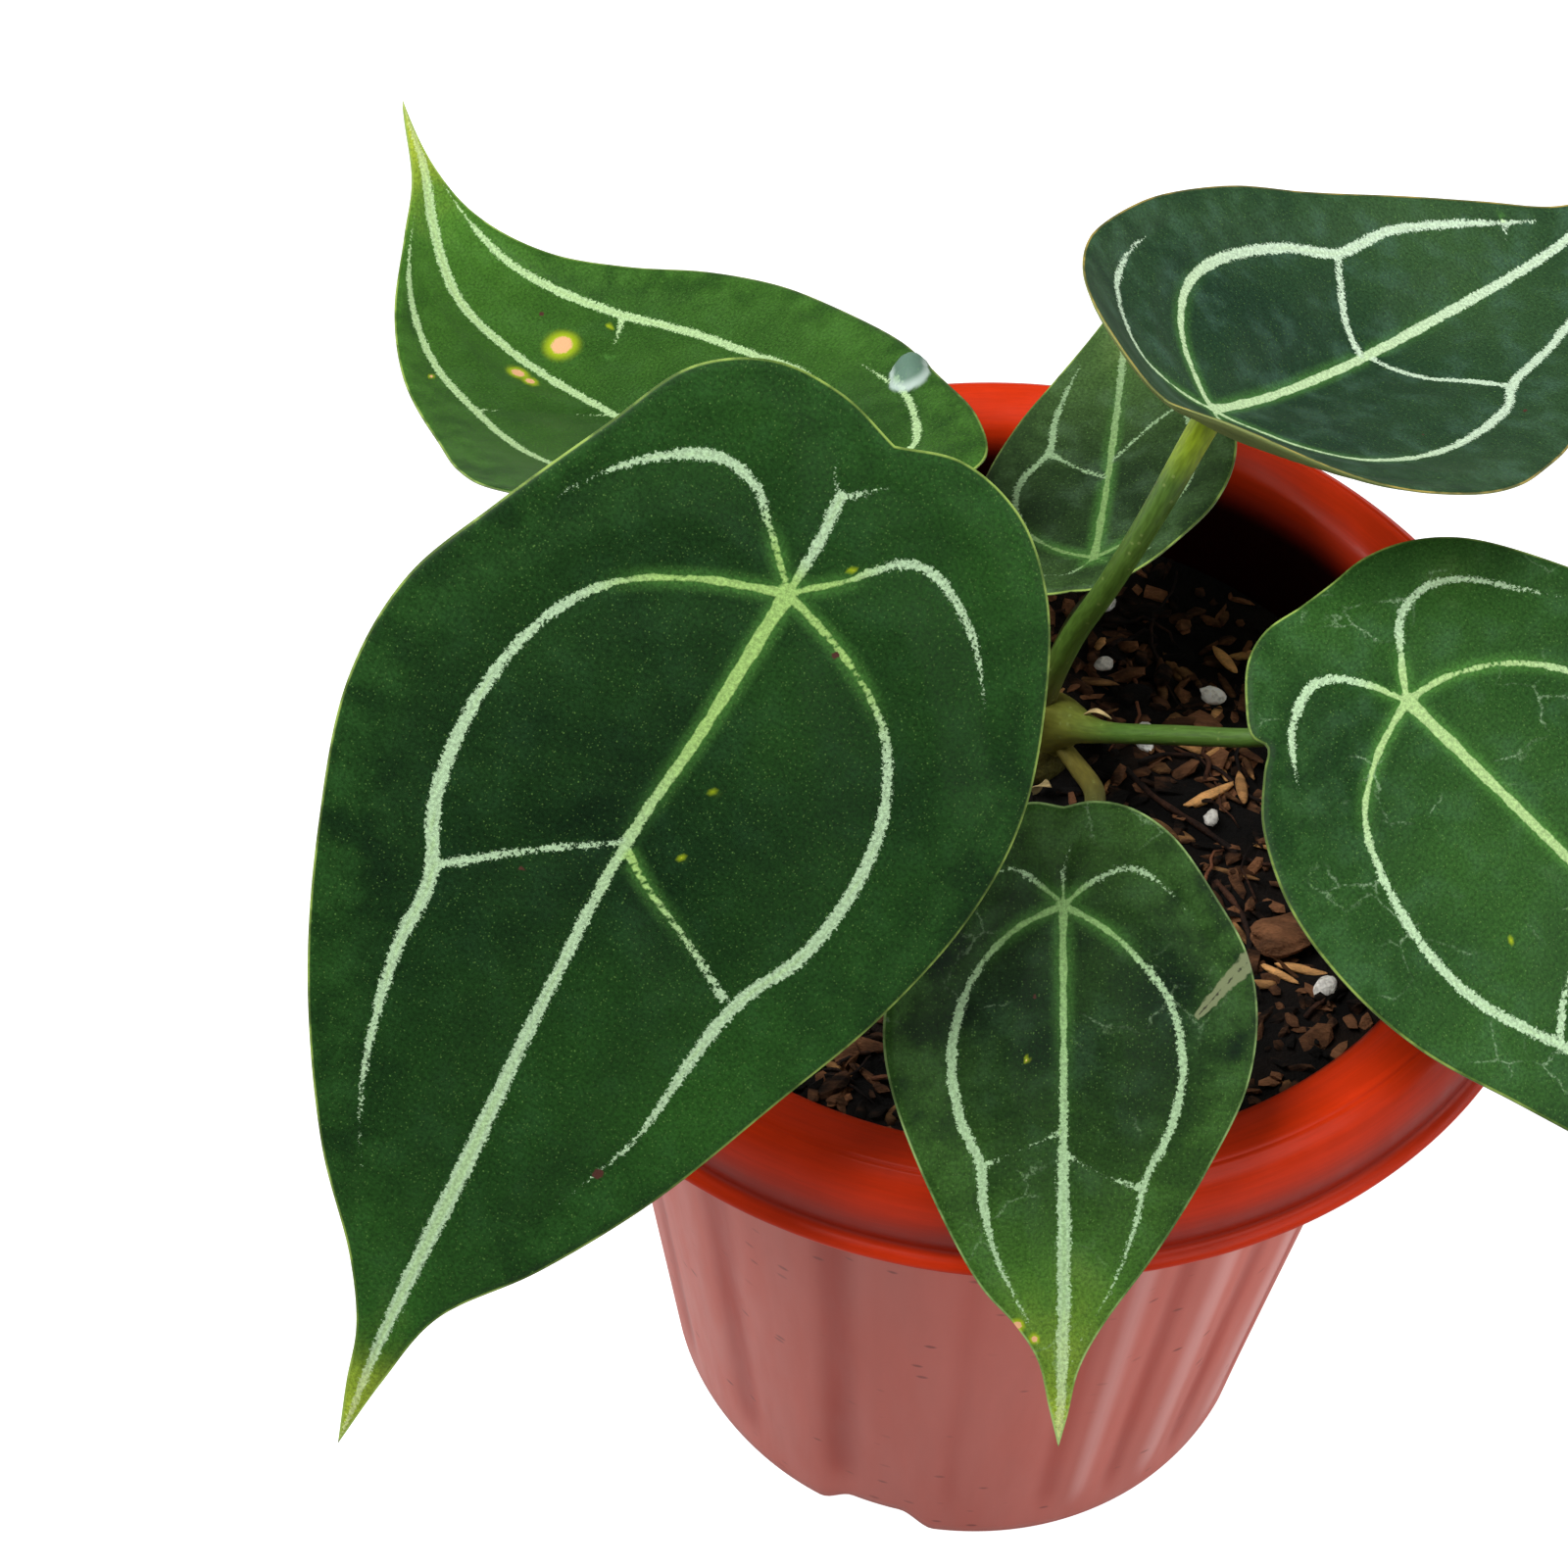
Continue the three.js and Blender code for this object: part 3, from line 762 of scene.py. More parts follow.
@dataclass(frozen=True)
class LeafFinish:
    """How one leaf looks: its greens, vein colours, painted sheen, and how scratched it is."""

    name: str
    deep: Colour = tone(16, 42, 18)
    light: Colour = tone(38, 70, 28)
    young: Colour = tone(160, 198, 112)
    silver: Colour = tone(180, 210, 168)
    rim: Colour = tone(150, 176, 84)
    ripe: Colour = tone(150, 172, 50)
    under: Colour = tone(122, 138, 100)
    # Painted sheen: its colour, and its share in the blotchy patches over the upper skin.
    haze: Colour = tone(84, 112, 92)
    haze_amount: float = 0.25
    speck_amount: float = 0.5
    chalk_amount: float = 0.0
    gloss: float = 0.16
    sheen: float = 0.02

    def make(self, effects: Effects) -> Finish:
        """Builds the leaf's material from the shared leaf skin.

        Args:
            effects: The shared node groups.
        Returns:
            The material.
        """
        material, w, shader = plain_material(self.name)
        where = w.add("UVMap", {"uv_map": "chart"}).outputs[0]
        look = w.add(
            "Group", {"node_tree": effects.leaf}, Vector=where, Deep=self.deep,
            Light=self.light, Young=self.young, Silver=self.silver, Rim=self.rim,
            Under=self.under, Haze=self.haze, Haze_Amount=self.haze_amount,
            Ripe=self.ripe, Speck_Amount=self.speck_amount,
            Chalk_Amount=self.chalk_amount).outputs
        w.feed(shader, Base_Color=look["Color"], Roughness=look["Roughness"],
               Normal=w.bump(look["Height"], 0.35, 0.00025), Sheen_Weight=self.sheen,
               Sheen_Roughness=0.4, Specular_IOR_Level=self.gloss)
        return material


@dataclass(frozen=True)
class StalkFinish:
    """A leaf stalk: colours at its base, along it and at its thick top, with fine streaks."""

    name: str
    base: Colour = tone(70, 72, 22)
    middle: Colour = tone(72, 104, 40)
    top: Colour = tone(138, 168, 40)
    speck: Colour = tone(150, 165, 95)
    streak_scale: float = 26.0
    gloss: float = 0.45

    def make(self, effects: Effects) -> Finish:
        """Builds the stalk's material along its length.

        Args:
            effects: The shared node groups.
        Returns:
            The material.
        """
        material, w, shader = plain_material(self.name)
        where, along = w.place(), w.mark("along")
        wander = w.sway(w.noise(where, 90.0), 0.12, along)
        colour = w.mix(w.ramp(wander, 0.1, 0.36), self.base, self.middle)
        colour = w.mix(w.ramp(wander, 0.82, 0.95), colour, self.top)
        streak = w.add("TexNoise", {"noise_dimensions": "2D"},
                       Vector=w.point(w.mark("around"), w.times(along, 1.2)),
                       Scale=self.streak_scale, Detail=3.0).outputs[0]
        colour = w.dim(colour, w.ramp(streak, 0.3, 0.7, 0.82, 1.16))
        specks = w.group(effects.specks, Vector=where, Scale=900.0, Size=0.3, Share=0.3)
        colour = w.mix(w.times(specks, 0.35), colour, self.speck)
        w.feed(shader, Base_Color=colour, Roughness=w.ramp(streak, 0.2, 0.8, 0.34, 0.5),
               Normal=w.bump(streak, 0.25, 0.0002), Specular_IOR_Level=self.gloss)
        return material


@dataclass(frozen=True)
class EarthFinish:
    """A dry rough piece of the mix: two colours that each piece and each patch sits between."""

    name: str
    dark: Colour
    pale: Colour
    roughness: float = 0.92
    patch_scale: float = 160.0
    grain_scale: float = 1500.0
    fibre: float = 1.0
    relief: float = 0.0006
    gloss: float = 0.25

    def make(self, effects: Effects) -> Finish:
        """Builds the material from the shared mottle, finer along y by the factor fibre.

        Args:
            effects: The shared node groups.
        Returns:
            The material.
        """
        material, w, shader = plain_material(self.name)
        where = w.stretched(w.place(), 1.0, self.fibre, 1.0)
        patch = w.noise(where, self.patch_scale, 4.0, 0.6)
        kind = w.times(w.math("POWER", w.mark("kind"), 1.8), 0.85)
        ground = w.mix(w.ramp(w.sway(patch, 1.2, kind), 0.0, 0.9), self.dark, self.pale)
        colour = w.group(effects.mottle, Vector=where, Color=ground, Grain=0.5, Patches=0.5,
                         Patch_Scale=self.patch_scale * 2.5, Grain_Scale=self.grain_scale)
        relief = w.noise(where, self.grain_scale, 4.0, 0.65)
        w.feed(shader, Base_Color=colour, Normal=w.bump(relief, 0.8, self.relief),
               Roughness=self.roughness, Specular_IOR_Level=self.gloss)
        return material


@dataclass(frozen=True)
class PotFinish:
    """Moulded red plastic: bright on the rim, chalkier below it, with scuffs and a satin skin."""

    name: str = "pot_plastic"
    rim: Colour = tone(206, 50, 12)
    body: Colour = tone(205, 107, 94)
    # Painted shade for the inside of the pot: a near-black red.
    inside: Colour = tone(32, 0, 0)
    # Painted shade for the gap above the lip.
    crease_shade: Colour = tone(112, 16, 2)
    scuff: Colour = tone(112, 48, 42)
    groove: Colour = tone(176, 66, 50)
    # Painted highlight colour for the raised ribs of the body.
    ridge_highlight: Colour = tone(232, 166, 160)
    roughness: float = 0.34
    gloss: float = 0.16
    ring_scale: float = 1500.0
    skin_scale: float = 1800.0
    scuff_scale: float = 190.0

    def make(self, effects: Effects) -> Finish:
        """Builds the plastic: zones follow the mesh's marks, wear follows noise.

        The fine rings on the rim are noise read at the distance from the axis and the height,
        and hardly at the turn about the axis.

        Args:
            effects: The shared node groups.
        Returns:
            The material.
        """
        material, w, shader = plain_material(self.name)
        where = w.place()
        outside, flute = w.mark("body"), w.mark("flute")
        colour = w.mix(outside, self.rim, self.body)
        for share, laid in (
                # Painted shade darkens the rim's lower slope in the gap above the lip.
                (w.times(w.mark("crease_shade"), 0.72), self.crease_shade),
                (w.times(w.ramp(flute, 0.1, 1.0, 0.0, 0.9), outside), self.groove),
                # Painted highlight on the raised ribs of the body.
                (w.times(w.ramp(flute, -0.8, -0.1, 0.7, 0.0), outside), self.ridge_highlight),
                # Painted shade down the inside of the pot.
                (w.mark("inner"), self.inside)):
            colour = w.mix(share, colour, laid)
        upright = w.stretched(where, 1.0, 1.0, 0.12)
        colour = w.group(effects.mottle, Vector=upright, Color=colour, Patch_Scale=55.0,
                         Grain_Scale=500.0, Patches=0.14, Grain=0.05)
        x, y, z = w.add("SeparateXYZ", None, Vector=where).outputs
        out = w.math("SQRT", w.math("ADD", w.times(x, x), w.times(y, y)))
        rings = w.noise(w.point(out, w.times(x, 0.05), z), self.ring_scale, 4.0, 0.7)
        on_rim = w.math("SUBTRACT", 1.0, outside)
        shade = w.times(w.ramp(rings, 0.36, 0.64, 0.93, 1.05), on_rim)
        colour = w.dim(colour, w.math("ADD", shade, outside))
        scuffs = w.group(effects.specks, Vector=w.stretched(where, 1.0, 1.0, 2.0),
                         Scale=self.scuff_scale, Size=0.22, Share=0.4)
        scuffs = w.times(w.times(scuffs, outside),
                         w.ramp(w.noise(where, 60.0), 0.34, 0.6, 0.06, 0.7))
        relief = w.math("MULTIPLY_ADD", w.noise(where, self.skin_scale), 0.25,
                        w.times(rings, w.times(on_rim, 0.4)))
        rough = w.ramp(w.noise(upright, 160.0, 4.0), 0.3, 0.7, self.roughness - 0.06,
                       self.roughness + 0.08)
        w.feed(shader, Base_Color=w.mix(scuffs, colour, self.scuff), Roughness=rough,
               Normal=w.bump(relief, 0.12, 0.0003), Specular_IOR_Level=self.gloss)
        return material


class Spot(Enum):
    """Kinds of mark on a leaf."""

    DRY = "dry"
    SPECK = "speck"
    BLISTER = "blister"


# The plant


@dataclass
class Vein:
    """One vein: its course over the flat blade, its half widths along it and its strength.

    silver holds the distances along it where its green cord starts and ends turning silver.
    """

    course: list[Point2]
    half: tuple[float, ...] = (0.6, 0.6, 0.3)
    gain: tuple[float, ...] = (1.0, 1.0, 1.0)
    silver: Point2 = (0.0, 0.1)


@dataclass
class Leaf:
    """A blade that a stalk meets from below near its base, bent along and across.

    Flat places are (u, v): u across the blade and v along the midrib from the stalk to the tip.
    """

    name: str
    at: Point3
    heading: float
    pitch: float
    roll: float
    length: float
    arch: Point2
    lobe_arch: float
    notch: Point2
    tip: Point2
    plus: list[Point2]
    minus: list[Point2]
    veins: list[Vein]
    stalk: list[Point3]
    stalk_radii: tuple[float, ...]
    finish: LeafFinish
    stalk_finish: StalkFinish
    cup: float = 0.0
    fold: float = 0.0
    twist: float = 0.0
    bow: float = 0.0
    spots: list[tuple[float, float, float, Spot]] = field(default_factory=list)
    tints: list[tuple[float, float, float, float]] = field(default_factory=list)
    scar: list[Point2] = field(default_factory=list)
    thickness: float = 0.8
    rows: int = 200
    columns: int = 112
    under_columns: int = 42
    quilt: float = 0.7
    blister_height: float = 2.4
    fold_width: float = 3.0
    wave: float = 0.45
    wave_size: float = 17.0
    square_end: float = 4.9
    bend_reach: Point2 = (-0.7, 1.4)
    bend_steps: int = 500
    stalk_sides: int = 24
    stalk_steps: int = 110
    vein_steps: int = 60

    def turn(self) -> Array:
        """The blade's turn in space: heading about z, then pitch about x, then roll about y.

        Returns:
            The turn, as three rows of three.
        """
        parts = (Matrix.Rotation(radians(self.heading), 3, "Z"),
                 Matrix.Rotation(radians(self.pitch), 3, "X"),
                 Matrix.Rotation(radians(self.roll), 3, "Y"))
        return np.array(parts[0] @ parts[1] @ parts[2])

    def bend(self, flat: Array, lift: Array | float = 0.0) -> Array:
        """Carries flat places onto the bent blade.

        The midrib's slope is arch[0] s + arch[1] s squared, with s = v / length, and lobe_arch s
        behind the stalk. Across it the blade rises by the fold along a softened V, falls by the
        cup's parabola and tilts by the twist. The bow moves it sideways by s squared.

        Args:
            flat: Places (u, v) in the last axis.
            lift: How far above the blade's middle each place is.
        Returns:
            Places in the model's frame, in millimetres.
        """
        u, v = flat[..., 0], flat[..., 1]
        table = np.linspace(*self.bend_reach, self.bend_steps)
        slopes = self._slope(table)
        step = table[1] - table[0]
        along = np.cumsum(np.cos(slopes)) * step
        down = -np.cumsum(np.sin(slopes)) * step
        s = v / self.length
        y = (np.interp(s, table, along) - np.interp(0, table, along)) * self.length
        z = (np.interp(s, table, down) - np.interp(0, table, down)) * self.length
        slope = self._slope(s)
        vee = np.hypot(u, self.fold_width) - self.fold_width
        rise = (self.fold * vee - 0.5 * self.cup * u * u / self.length + self.twist * u * s
                + lift)
        local = np.stack([
            u + self.bow * self.length * s * s,
            y + rise * np.sin(slope),
            z + rise * np.cos(slope),
        ], axis=-1)
        return np.asarray(self.at) + local @ self.turn().T

    def _slope(self, s: Array) -> Array:
        """The midrib's slope in radians at shares s of the length."""
        return np.where(s > 0, self.arch[0] * s + self.arch[1] * s * s, self.lobe_arch * s)

    def blade(self) -> Surface:
        """The closed blade: rows of points from margin to margin over the top and back below.

        A row joins its point on the line from notch to tip with its points on both margins, and
        every row is a ring that the skin joins to the next.

        Returns:
            The surface, with the marks that the leaf skin reads and its flat places as chart.
        """
        share = np.linspace(0, 1, self.rows + 1)[1:-1]
        edges = [evenly(spline([self.notch, *side, self.tip]), share)
                 for side in (self.minus, self.plus)]
        rib = np.asarray(self.notch) + np.outer(share ** 1.25, np.subtract(self.tip, self.notch))
        above = np.linspace(-1, 1, self.columns + 1)
        below = np.linspace(1, -1, self.under_columns + 1)
        reach = np.concatenate([above, below])
        side = np.where(reach[None, :, None] < 0, edges[0][:, None], edges[1][:, None])
        flat = rib[:, None] + np.abs(reach)[None, :, None] * (side - rib[:, None])
        under = np.concatenate([np.zeros(len(above)), np.ones(len(below))])
        under = np.repeat(under[None], len(share), axis=0)
        ends = np.array([self.notch, self.tip], float)
        places = np.vstack([flat.reshape(-1, 2), ends])
        marks = self._marks(places)
        marks["under"] = np.concatenate([under.ravel(), [0.0, 0.0]])
        lift = self._relief(places, marks)
        points = self.bend(places, lift)
        rings = points[:-2].reshape(flat.shape[0], flat.shape[1], 3)
        made = skin(rings, points[-2:-1], points[-1:])
        made.marks = marks
        made.chart = 0.5 + places * MM
        return made

    def _relief(self, places: Array, marks: dict[str, Array]) -> Array:
        """Height above the blade's middle.

        It is half the thickness, thinning at the margin, less the sink at veins, plus a swell
        between them, soft noise, and the blister's dome on top.

        Args:
            places: Flat places, one per row.
            marks: What the leaf skin reads there.
        Returns:
            One height per place.
        """
        margin, edge, below = marks["margin"], marks["vein_edge"], marks["under"] > 0.5
        half = 0.5 * self.thickness * (0.3 + 0.7 * smooth(0.0, 1.2, margin))
        half = half * np.where(below, -1, 1)
        dome = self.blister_height * (1 - (1 - marks["blister"]) ** 2) * ~below
        swell = smooth(0.0, 9.0, edge) * smooth(0.0, 6.0, margin)
        groove = smooth(1.2, 0.0, edge) * smooth(1.5, 3.5, margin) * np.where(below, -0.3, 0.12)
        deep = np.concatenate([places, np.full((len(places), 1), self.heading)], axis=1)
        wave = self.wave * Grain(11).at(deep, self.wave_size) * smooth(0.0, 12.0, margin)
        swell = self.quilt * (swell - 0.5) * smooth(0.0, 6.0, margin)
        return half + swell - groove + wave + dome

    def _marks(self, places: Array) -> dict[str, Array]:
        """What the leaf skin reads at each point.

        vein_edge is the least, over all veins, of the distance to the vein less its half width;
        vein_gain is that vein's strength there; vein_pale rises from 0 to 1 where the vein turns
        silver; margin is the distance to the outline; tint is a sum of bells, lighter where it
        is above 0 and darker below; rank is v less a third of the distance from the midrib,
        which numbers the fine lines that run between the veins. A spot, the blister and the scar
        are cones of height 1, and a halo is flat over its spot and falls beyond it.

        Args:
            places: Flat places, one per row.
        Returns:
            One value per place for each mark.
        """
        edge = np.full(len(places), 30.0)
        gain, pale = np.ones(len(places)), np.ones(len(places))
        for vein in self.veins:
            place = np.linspace(0, 1, self.vein_steps)
            course = evenly(spline(vein.course, 8), place)
            length = np.linalg.norm(np.diff(course, axis=0), axis=1).sum()
            half = np.interp(place, np.linspace(0, 1, len(vein.half)), vein.half)
            power = np.interp(place, np.linspace(0, 1, len(vein.gain)), vein.gain)
            gap, share = distances(places, course)
            out = gap - (half[:-1] + share * np.diff(half))
            best = out.argmin(axis=1)
            least = out[np.arange(len(out)), best]
            nearer = least < edge
            edge = np.where(nearer, least, edge)
            gain = np.where(nearer, power[best], gain)
            turned = smooth(vein.silver[0], vein.silver[1], place[best] * length)
            pale = np.where(nearer, turned, pale)
        outline = np.vstack([spline([self.notch, *self.plus, self.tip]),
                             spline([self.notch, *self.minus, self.tip])[::-1]])
        margin = distances(places, outline)[0].min(axis=1)
        tint = np.zeros(len(places))
        for u, v, radius, amount in self.tints:
            gap = np.hypot(places[:, 0] - u, places[:, 1] - v)
            tint = tint + amount * np.exp(-(gap / radius) ** 2)
        spot, halo = np.zeros(len(places)), np.zeros(len(places))
        scar, blister = np.zeros(len(places)), np.zeros(len(places))
        if self.scar:
            gap, share = distances(places, np.array(self.scar, float))
            near = gap.argmin(axis=1)
            rows = np.arange(len(near))
            along = (near + share[rows, near]) / (len(self.scar) - 1)
            scar = np.clip(1 - gap[rows, near] / (0.7 + 1.1 * (1 - along)), 0, 1)
        for u, v, radius, kind in self.spots:
            gap = np.hypot(places[:, 0] - u, places[:, 1] - v)
            if kind is Spot.BLISTER:
                blister = np.maximum(blister, np.clip(1 - gap / radius, 0, 1))
                continue
            spot = np.maximum(spot, np.clip(1 - gap / (2 * radius), 0, 1))
            if kind is Spot.DRY:
                halo = np.maximum(halo, 1 - smooth(radius, radius * 2.2, gap))
        return {
            "vein_edge": np.clip(edge, -4, 12),
            "vein_gain": gain,
            "vein_pale": pale,
            "tint": tint,
            "margin": np.clip(margin, 0, 30),
            "rank": places[:, 1] - 0.33 * np.abs(places[:, 0]),
            "spot": spot,
            "halo": halo,
            "scar": scar,
            "blister": blister,
        }

    def stalk_surface(self) -> Surface:
        """The stalk: a rod from the stem to just under the blade, arriving square to it.

        Returns:
            The closed surface.
        """
        normal = self.turn()[:, 2]
        foot = 0.5 * self.thickness
        arrive = [tuple(np.asarray(self.at) - normal * depth)
                  for depth in (self.square_end + foot, foot)]
        place = np.linspace(0, 1, self.stalk_steps)
        path = evenly(spline([*self.stalk, *arrive], 16), place)
        radii = np.interp(place, np.linspace(0, 1, len(self.stalk_radii)), self.stalk_radii)
        return swept(path, radii, self.stalk_sides)

    def build(self, effects: Effects) -> list[Thing]:
        """Makes the blade and the stalk and puts them in place of their CAD nodes.

        Args:
            effects: The shared node groups.
        Returns:
            The blade and the stalk.
        """
        blade = self.blade().build(f"leaf_{self.name}", self.finish.make(effects))
        stalk = self.stalk_surface().build(f"stalk_{self.name}", self.stalk_finish.make(effects))
        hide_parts(f"blade_{self.name}")
        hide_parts(f"petiole_{self.name}")
        return [blade, stalk]


def leaf_front_left() -> Leaf:
    """The largest leaf, nearest the eye at the left.

    Returns:
        The leaf.
    """
    return Leaf(
        name="front_left", at=(-28.5, -41, 213), heading=148, pitch=-44, roll=-32, length=120,
        arch=(0.05, 0.15), lobe_arch=0.25, cup=0.25,
        notch=(-3, -21), tip=(-1.5, 124),
        plus=[(5, -23.5), (14, -23.3), (22, -18.5), (28, -7.5), (35, 6.5), (40.3, 19), (41, 33),
              (36.3, 50.5), (29, 68.5), (18.2, 87), (8.6, 99), (3.7, 107.5), (1.5, 115)],
        minus=[(-11, -23), (-20, -20.5), (-27.6, -13.4), (-33.8, -1.6), (-38, 12), (-38.2, 25),
               (-34.6, 41), (-28.5, 56.5), (-21, 75), (-12.7, 90), (-4.6, 101.6), (-2.5, 113)],
        veins=[
            Vein([(0, 0), (1.3, 19), (3, 36), (2.8, 58), (1.5, 83), (0.4, 106), (-1.5, 124)],
                 (0.85, 0.62, 0.62, 0.72, 1.05, 0.85, 0.4), (1, 1, 1, 1, 1, 0.95, 0.8), (16, 50)),
            Vein([(0, 0), (10.5, 3.5), (19.5, 9), (24.7, 18), (26.6, 30), (25.3, 41.7),
                  (21.7, 50), (21.3, 60), (18, 75.6), (14.2, 84.5), (10.5, 91)],
                 (0.5, 0.35, 0.55, 0.75, 0.85, 0.75, 0.5, 0.25), (1, 1, 1, 1, 1, 0.85, 0.6),
                 (14, 26)),
            Vein([(0, 0), (-10.3, 4.1), (-18, 9.7), (-22.6, 18.3), (-23.9, 27), (-22.5, 38),
                  (-18.5, 46.5), (-16.8, 54), (-15.3, 68.7), (-12.5, 76.3), (-9.5, 84.6)],
                 (0.45, 0.35, 0.6, 0.75, 0.8, 0.7, 0.5, 0.25), (1, 1, 1, 1, 1, 0.8, 0.6),
                 (12, 24)),
            Vein([(3, 35.5), (12.3, 41.3), (22.2, 48.7)], (0.3, 0.35, 0.6)),
            Vein([(3, 36), (-1.7, 39.2), (-8.9, 43), (-16.2, 47.5)], (0.5, 0.33, 0.38, 0.6),
                 silver=(2, 24)),
            Vein([(0, 0), (5, -5.4), (9.5, -9.6), (14.5, -10.4), (20.7, -7.3), (25.3, -3.0),
                  (29.6, 3.3), (32, 8)], (0.4, 0.35, 0.55, 0.65, 0.6, 0.5, 0.3),
                 (1, 1, 1, 1, 0.8, 0.62, 0.45), (4, 12)),
            Vein([(0, 0), (-5.2, -4.2), (-10.2, -9.1), (-14, -9.8), (-21, -6), (-26.6, 0.6),
                  (-30.5, 7)], (0.4, 0.35, 0.55, 0.6, 0.5, 0.15), (1, 1, 1, 0.9, 0.75, 0.35),
                 (5, 13)),
            Vein([(0, 0), (-0.4, -6), (-0.2, -13)], (0.45, 0.6, 0.75), (1, 1, 0.95), (1, 5)),
            Vein([(-0.2, -12.5), (-2.2, -14.3), (-5.0, -16.6)], (0.5, 0.35), (1, 0.65)),
            Vein([(-0.2, -12.5), (1.6, -14.8), (2.2, -17)], (0.4, 0.2), (1, 0.7)),
        ],
        stalk=[(1.2, 13.2, 126), (1.1, 13, 130.5), (-0.2, 11, 138), (-4, 5, 154), (-12, -6, 174),
               (-21, -20, 192), (-26.8, -30.5, 204)],
        stalk_radii=(2.2, 1.7, 1.6, 1.55, 1.5, 1.5, 1.6, 1.9),
        finish=LeafFinish("leaf_skin_front_left", deep=tone(7, 32, 10), light=tone(38, 80, 25),
                          haze=tone(58, 92, 74), haze_amount=0.06, gloss=0.12),
        tints=[(-1.5, 126, 14, 2.3), (0, 104, 18, 0.4), (-22, -14, 14, 0.45),
               (20, -16, 16, 0.35), (-26, 62, 17, 0.45), (12, 28, 22, -0.14), (30, 45, 18, -0.1),
               (-6, 16, 10, 0.15)],
        spots=[(-8.4, 4.0, 0.5, Spot.SPECK), (12.5, 43.8, 0.45, Spot.SPECK),
               (-13.3, 74.8, 0.7, Spot.SPECK), (-3.4, 25.3, 0.2, Spot.DRY),
               (-3.8, 34.1, 0.2, Spot.DRY), (-5.4, -5.8, 0.22, Spot.DRY)],
        stalk_finish=StalkFinish("stalk_skin_front_left"),
    )


def leaf_back_left() -> Leaf:
    """The yellower leaf at the back left, with a long drawn-out tip.

    Returns:
        The leaf.
    """
    return Leaf(
        name="back_left", at=(-36.5, 28, 161), heading=59, pitch=-24, roll=16, length=108,
        arch=(-0.25, -0.95), lobe_arch=0.1, cup=-0.4, fold=0.18, twist=0.05, bow=0.16,
        notch=(0, -20), tip=(0.8, 108),
        plus=[(5, -25), (12, -26), (21.4, -17.6), (28.3, -5.9), (35, 8.3), (38, 26), (37.3, 39),
              (32.5, 51.5), (24, 62.6), (15, 73.6), (7.3, 86.4), (3.8, 96)],
        minus=[(-8, -24.5), (-20, -22), (-33, -12), (-42, 1), (-43.5, 13), (-39.5, 25),
               (-32.8, 38.9), (-24.4, 59.9), (-16.2, 74.6), (-6.4, 87.5), (-0.8, 96)],
        veins=[
            Vein([(0, 0), (1, 20), (1.3, 40), (-1.4, 62), (-2.8, 74), (0, 88), (1.8, 97.5),
                  (0.8, 108)], (0.8, 0.6, 0.65, 0.85, 0.95, 0.95, 0.55), (1, 1, 1, 1, 1, 1, 0.8),
                 (10, 40)),
            Vein([(0, 0), (10, 2), (19, 8), (23.8, 18), (23.9, 30), (22, 44), (17, 56.4),
                  (12.8, 66), (8.6, 75.6), (5.6, 86.2), (3.9, 94)],
                 (0.4, 0.4, 0.6, 0.75, 0.8, 0.8, 0.6, 0.35), (1, 1, 1, 1, 1, 1, 0.95, 0.7),
                 (8, 24)),
            Vein([(0, 0), (-10, 2.5), (-18, 8), (-22, 17), (-22, 27), (-18.7, 47.8),
                  (-16.3, 63), (-10.4, 79), (-2.1, 91.5)],
                 (0.4, 0.4, 0.6, 0.8, 0.8, 0.75, 0.6, 0.3), (1, 1, 1, 1, 1, 0.95, 0.6), (8, 24)),
            Vein([(10.4, 49.3), (13.5, 51.4), (17.2, 54.6)], (0.15, 0.3, 0.6), (0.7, 0.9, 1)),
            Vein([(1.3, 38), (-8, 44), (-18.7, 48)], (0.3, 0.06, 0.4), (1, 0.7, 1)),
            Vein([(0, 0), (5, -6), (9, -12), (12.7, -13.2), (19.6, -7.6), (24, -2),
                  (28.2, 9.5), (30.5, 17)], (0.45, 0.5, 0.6, 0.6, 0.55, 0.3),
                 (1, 1, 0.95, 0.9, 0.75, 0.5), (2, 8)),
            Vein([(0, 0), (-4, -6), (-9, -11.5), (-15, -11.5), (-22, -6), (-28, 4)],
                 (0.45, 0.55, 0.55, 0.3), (1, 1, 0.8, 0.4), (2, 8)),
            Vein([(0, 0), (0.3, -6), (0, -12)], (0.4, 0.3, 0.1), (1, 0.8, 0.4), (1, 5)),
        ],
        stalk=[(0.2, 17, 126), (0.1, 17, 130.5), (-2.2, 17.8, 137), (-8.5, 19.6, 143.5),
               (-17, 21.5, 147.5), (-26.5, 22.8, 150), (-33, 24.2, 152.6)],
        stalk_radii=(2.2, 1.6, 1.5, 1.4, 1.4, 1.5, 1.8),
        finish=LeafFinish("leaf_skin_back_left", deep=tone(20, 54, 12), light=tone(66, 112, 34),
                          young=tone(172, 202, 124), silver=tone(178, 210, 152),
                          ripe=tone(168, 182, 52), haze=tone(70, 108, 70), haze_amount=0.1),
        tints=[(0.5, 113, 17, 2.3), (1, 88, 15, 0.4), (0, 45, 26, 0.12)],
        spots=[(5.9, 56.2, 1.7, Spot.DRY), (-4.1, 55.0, 1.1, Spot.DRY), (-3.7, 52.3, 0.8, Spot.DRY),
               (7.4, 63.9, 0.5, Spot.SPECK), (-19.6, 58.3, 0.35, Spot.DRY),
               (14.5, 54.4, 0.3, Spot.DRY), (26.9, -0.8, 3.2, Spot.BLISTER),
               (28.7, 0.8, 3.1, Spot.BLISTER)],
        stalk_finish=StalkFinish("stalk_skin_back_left"),
    )


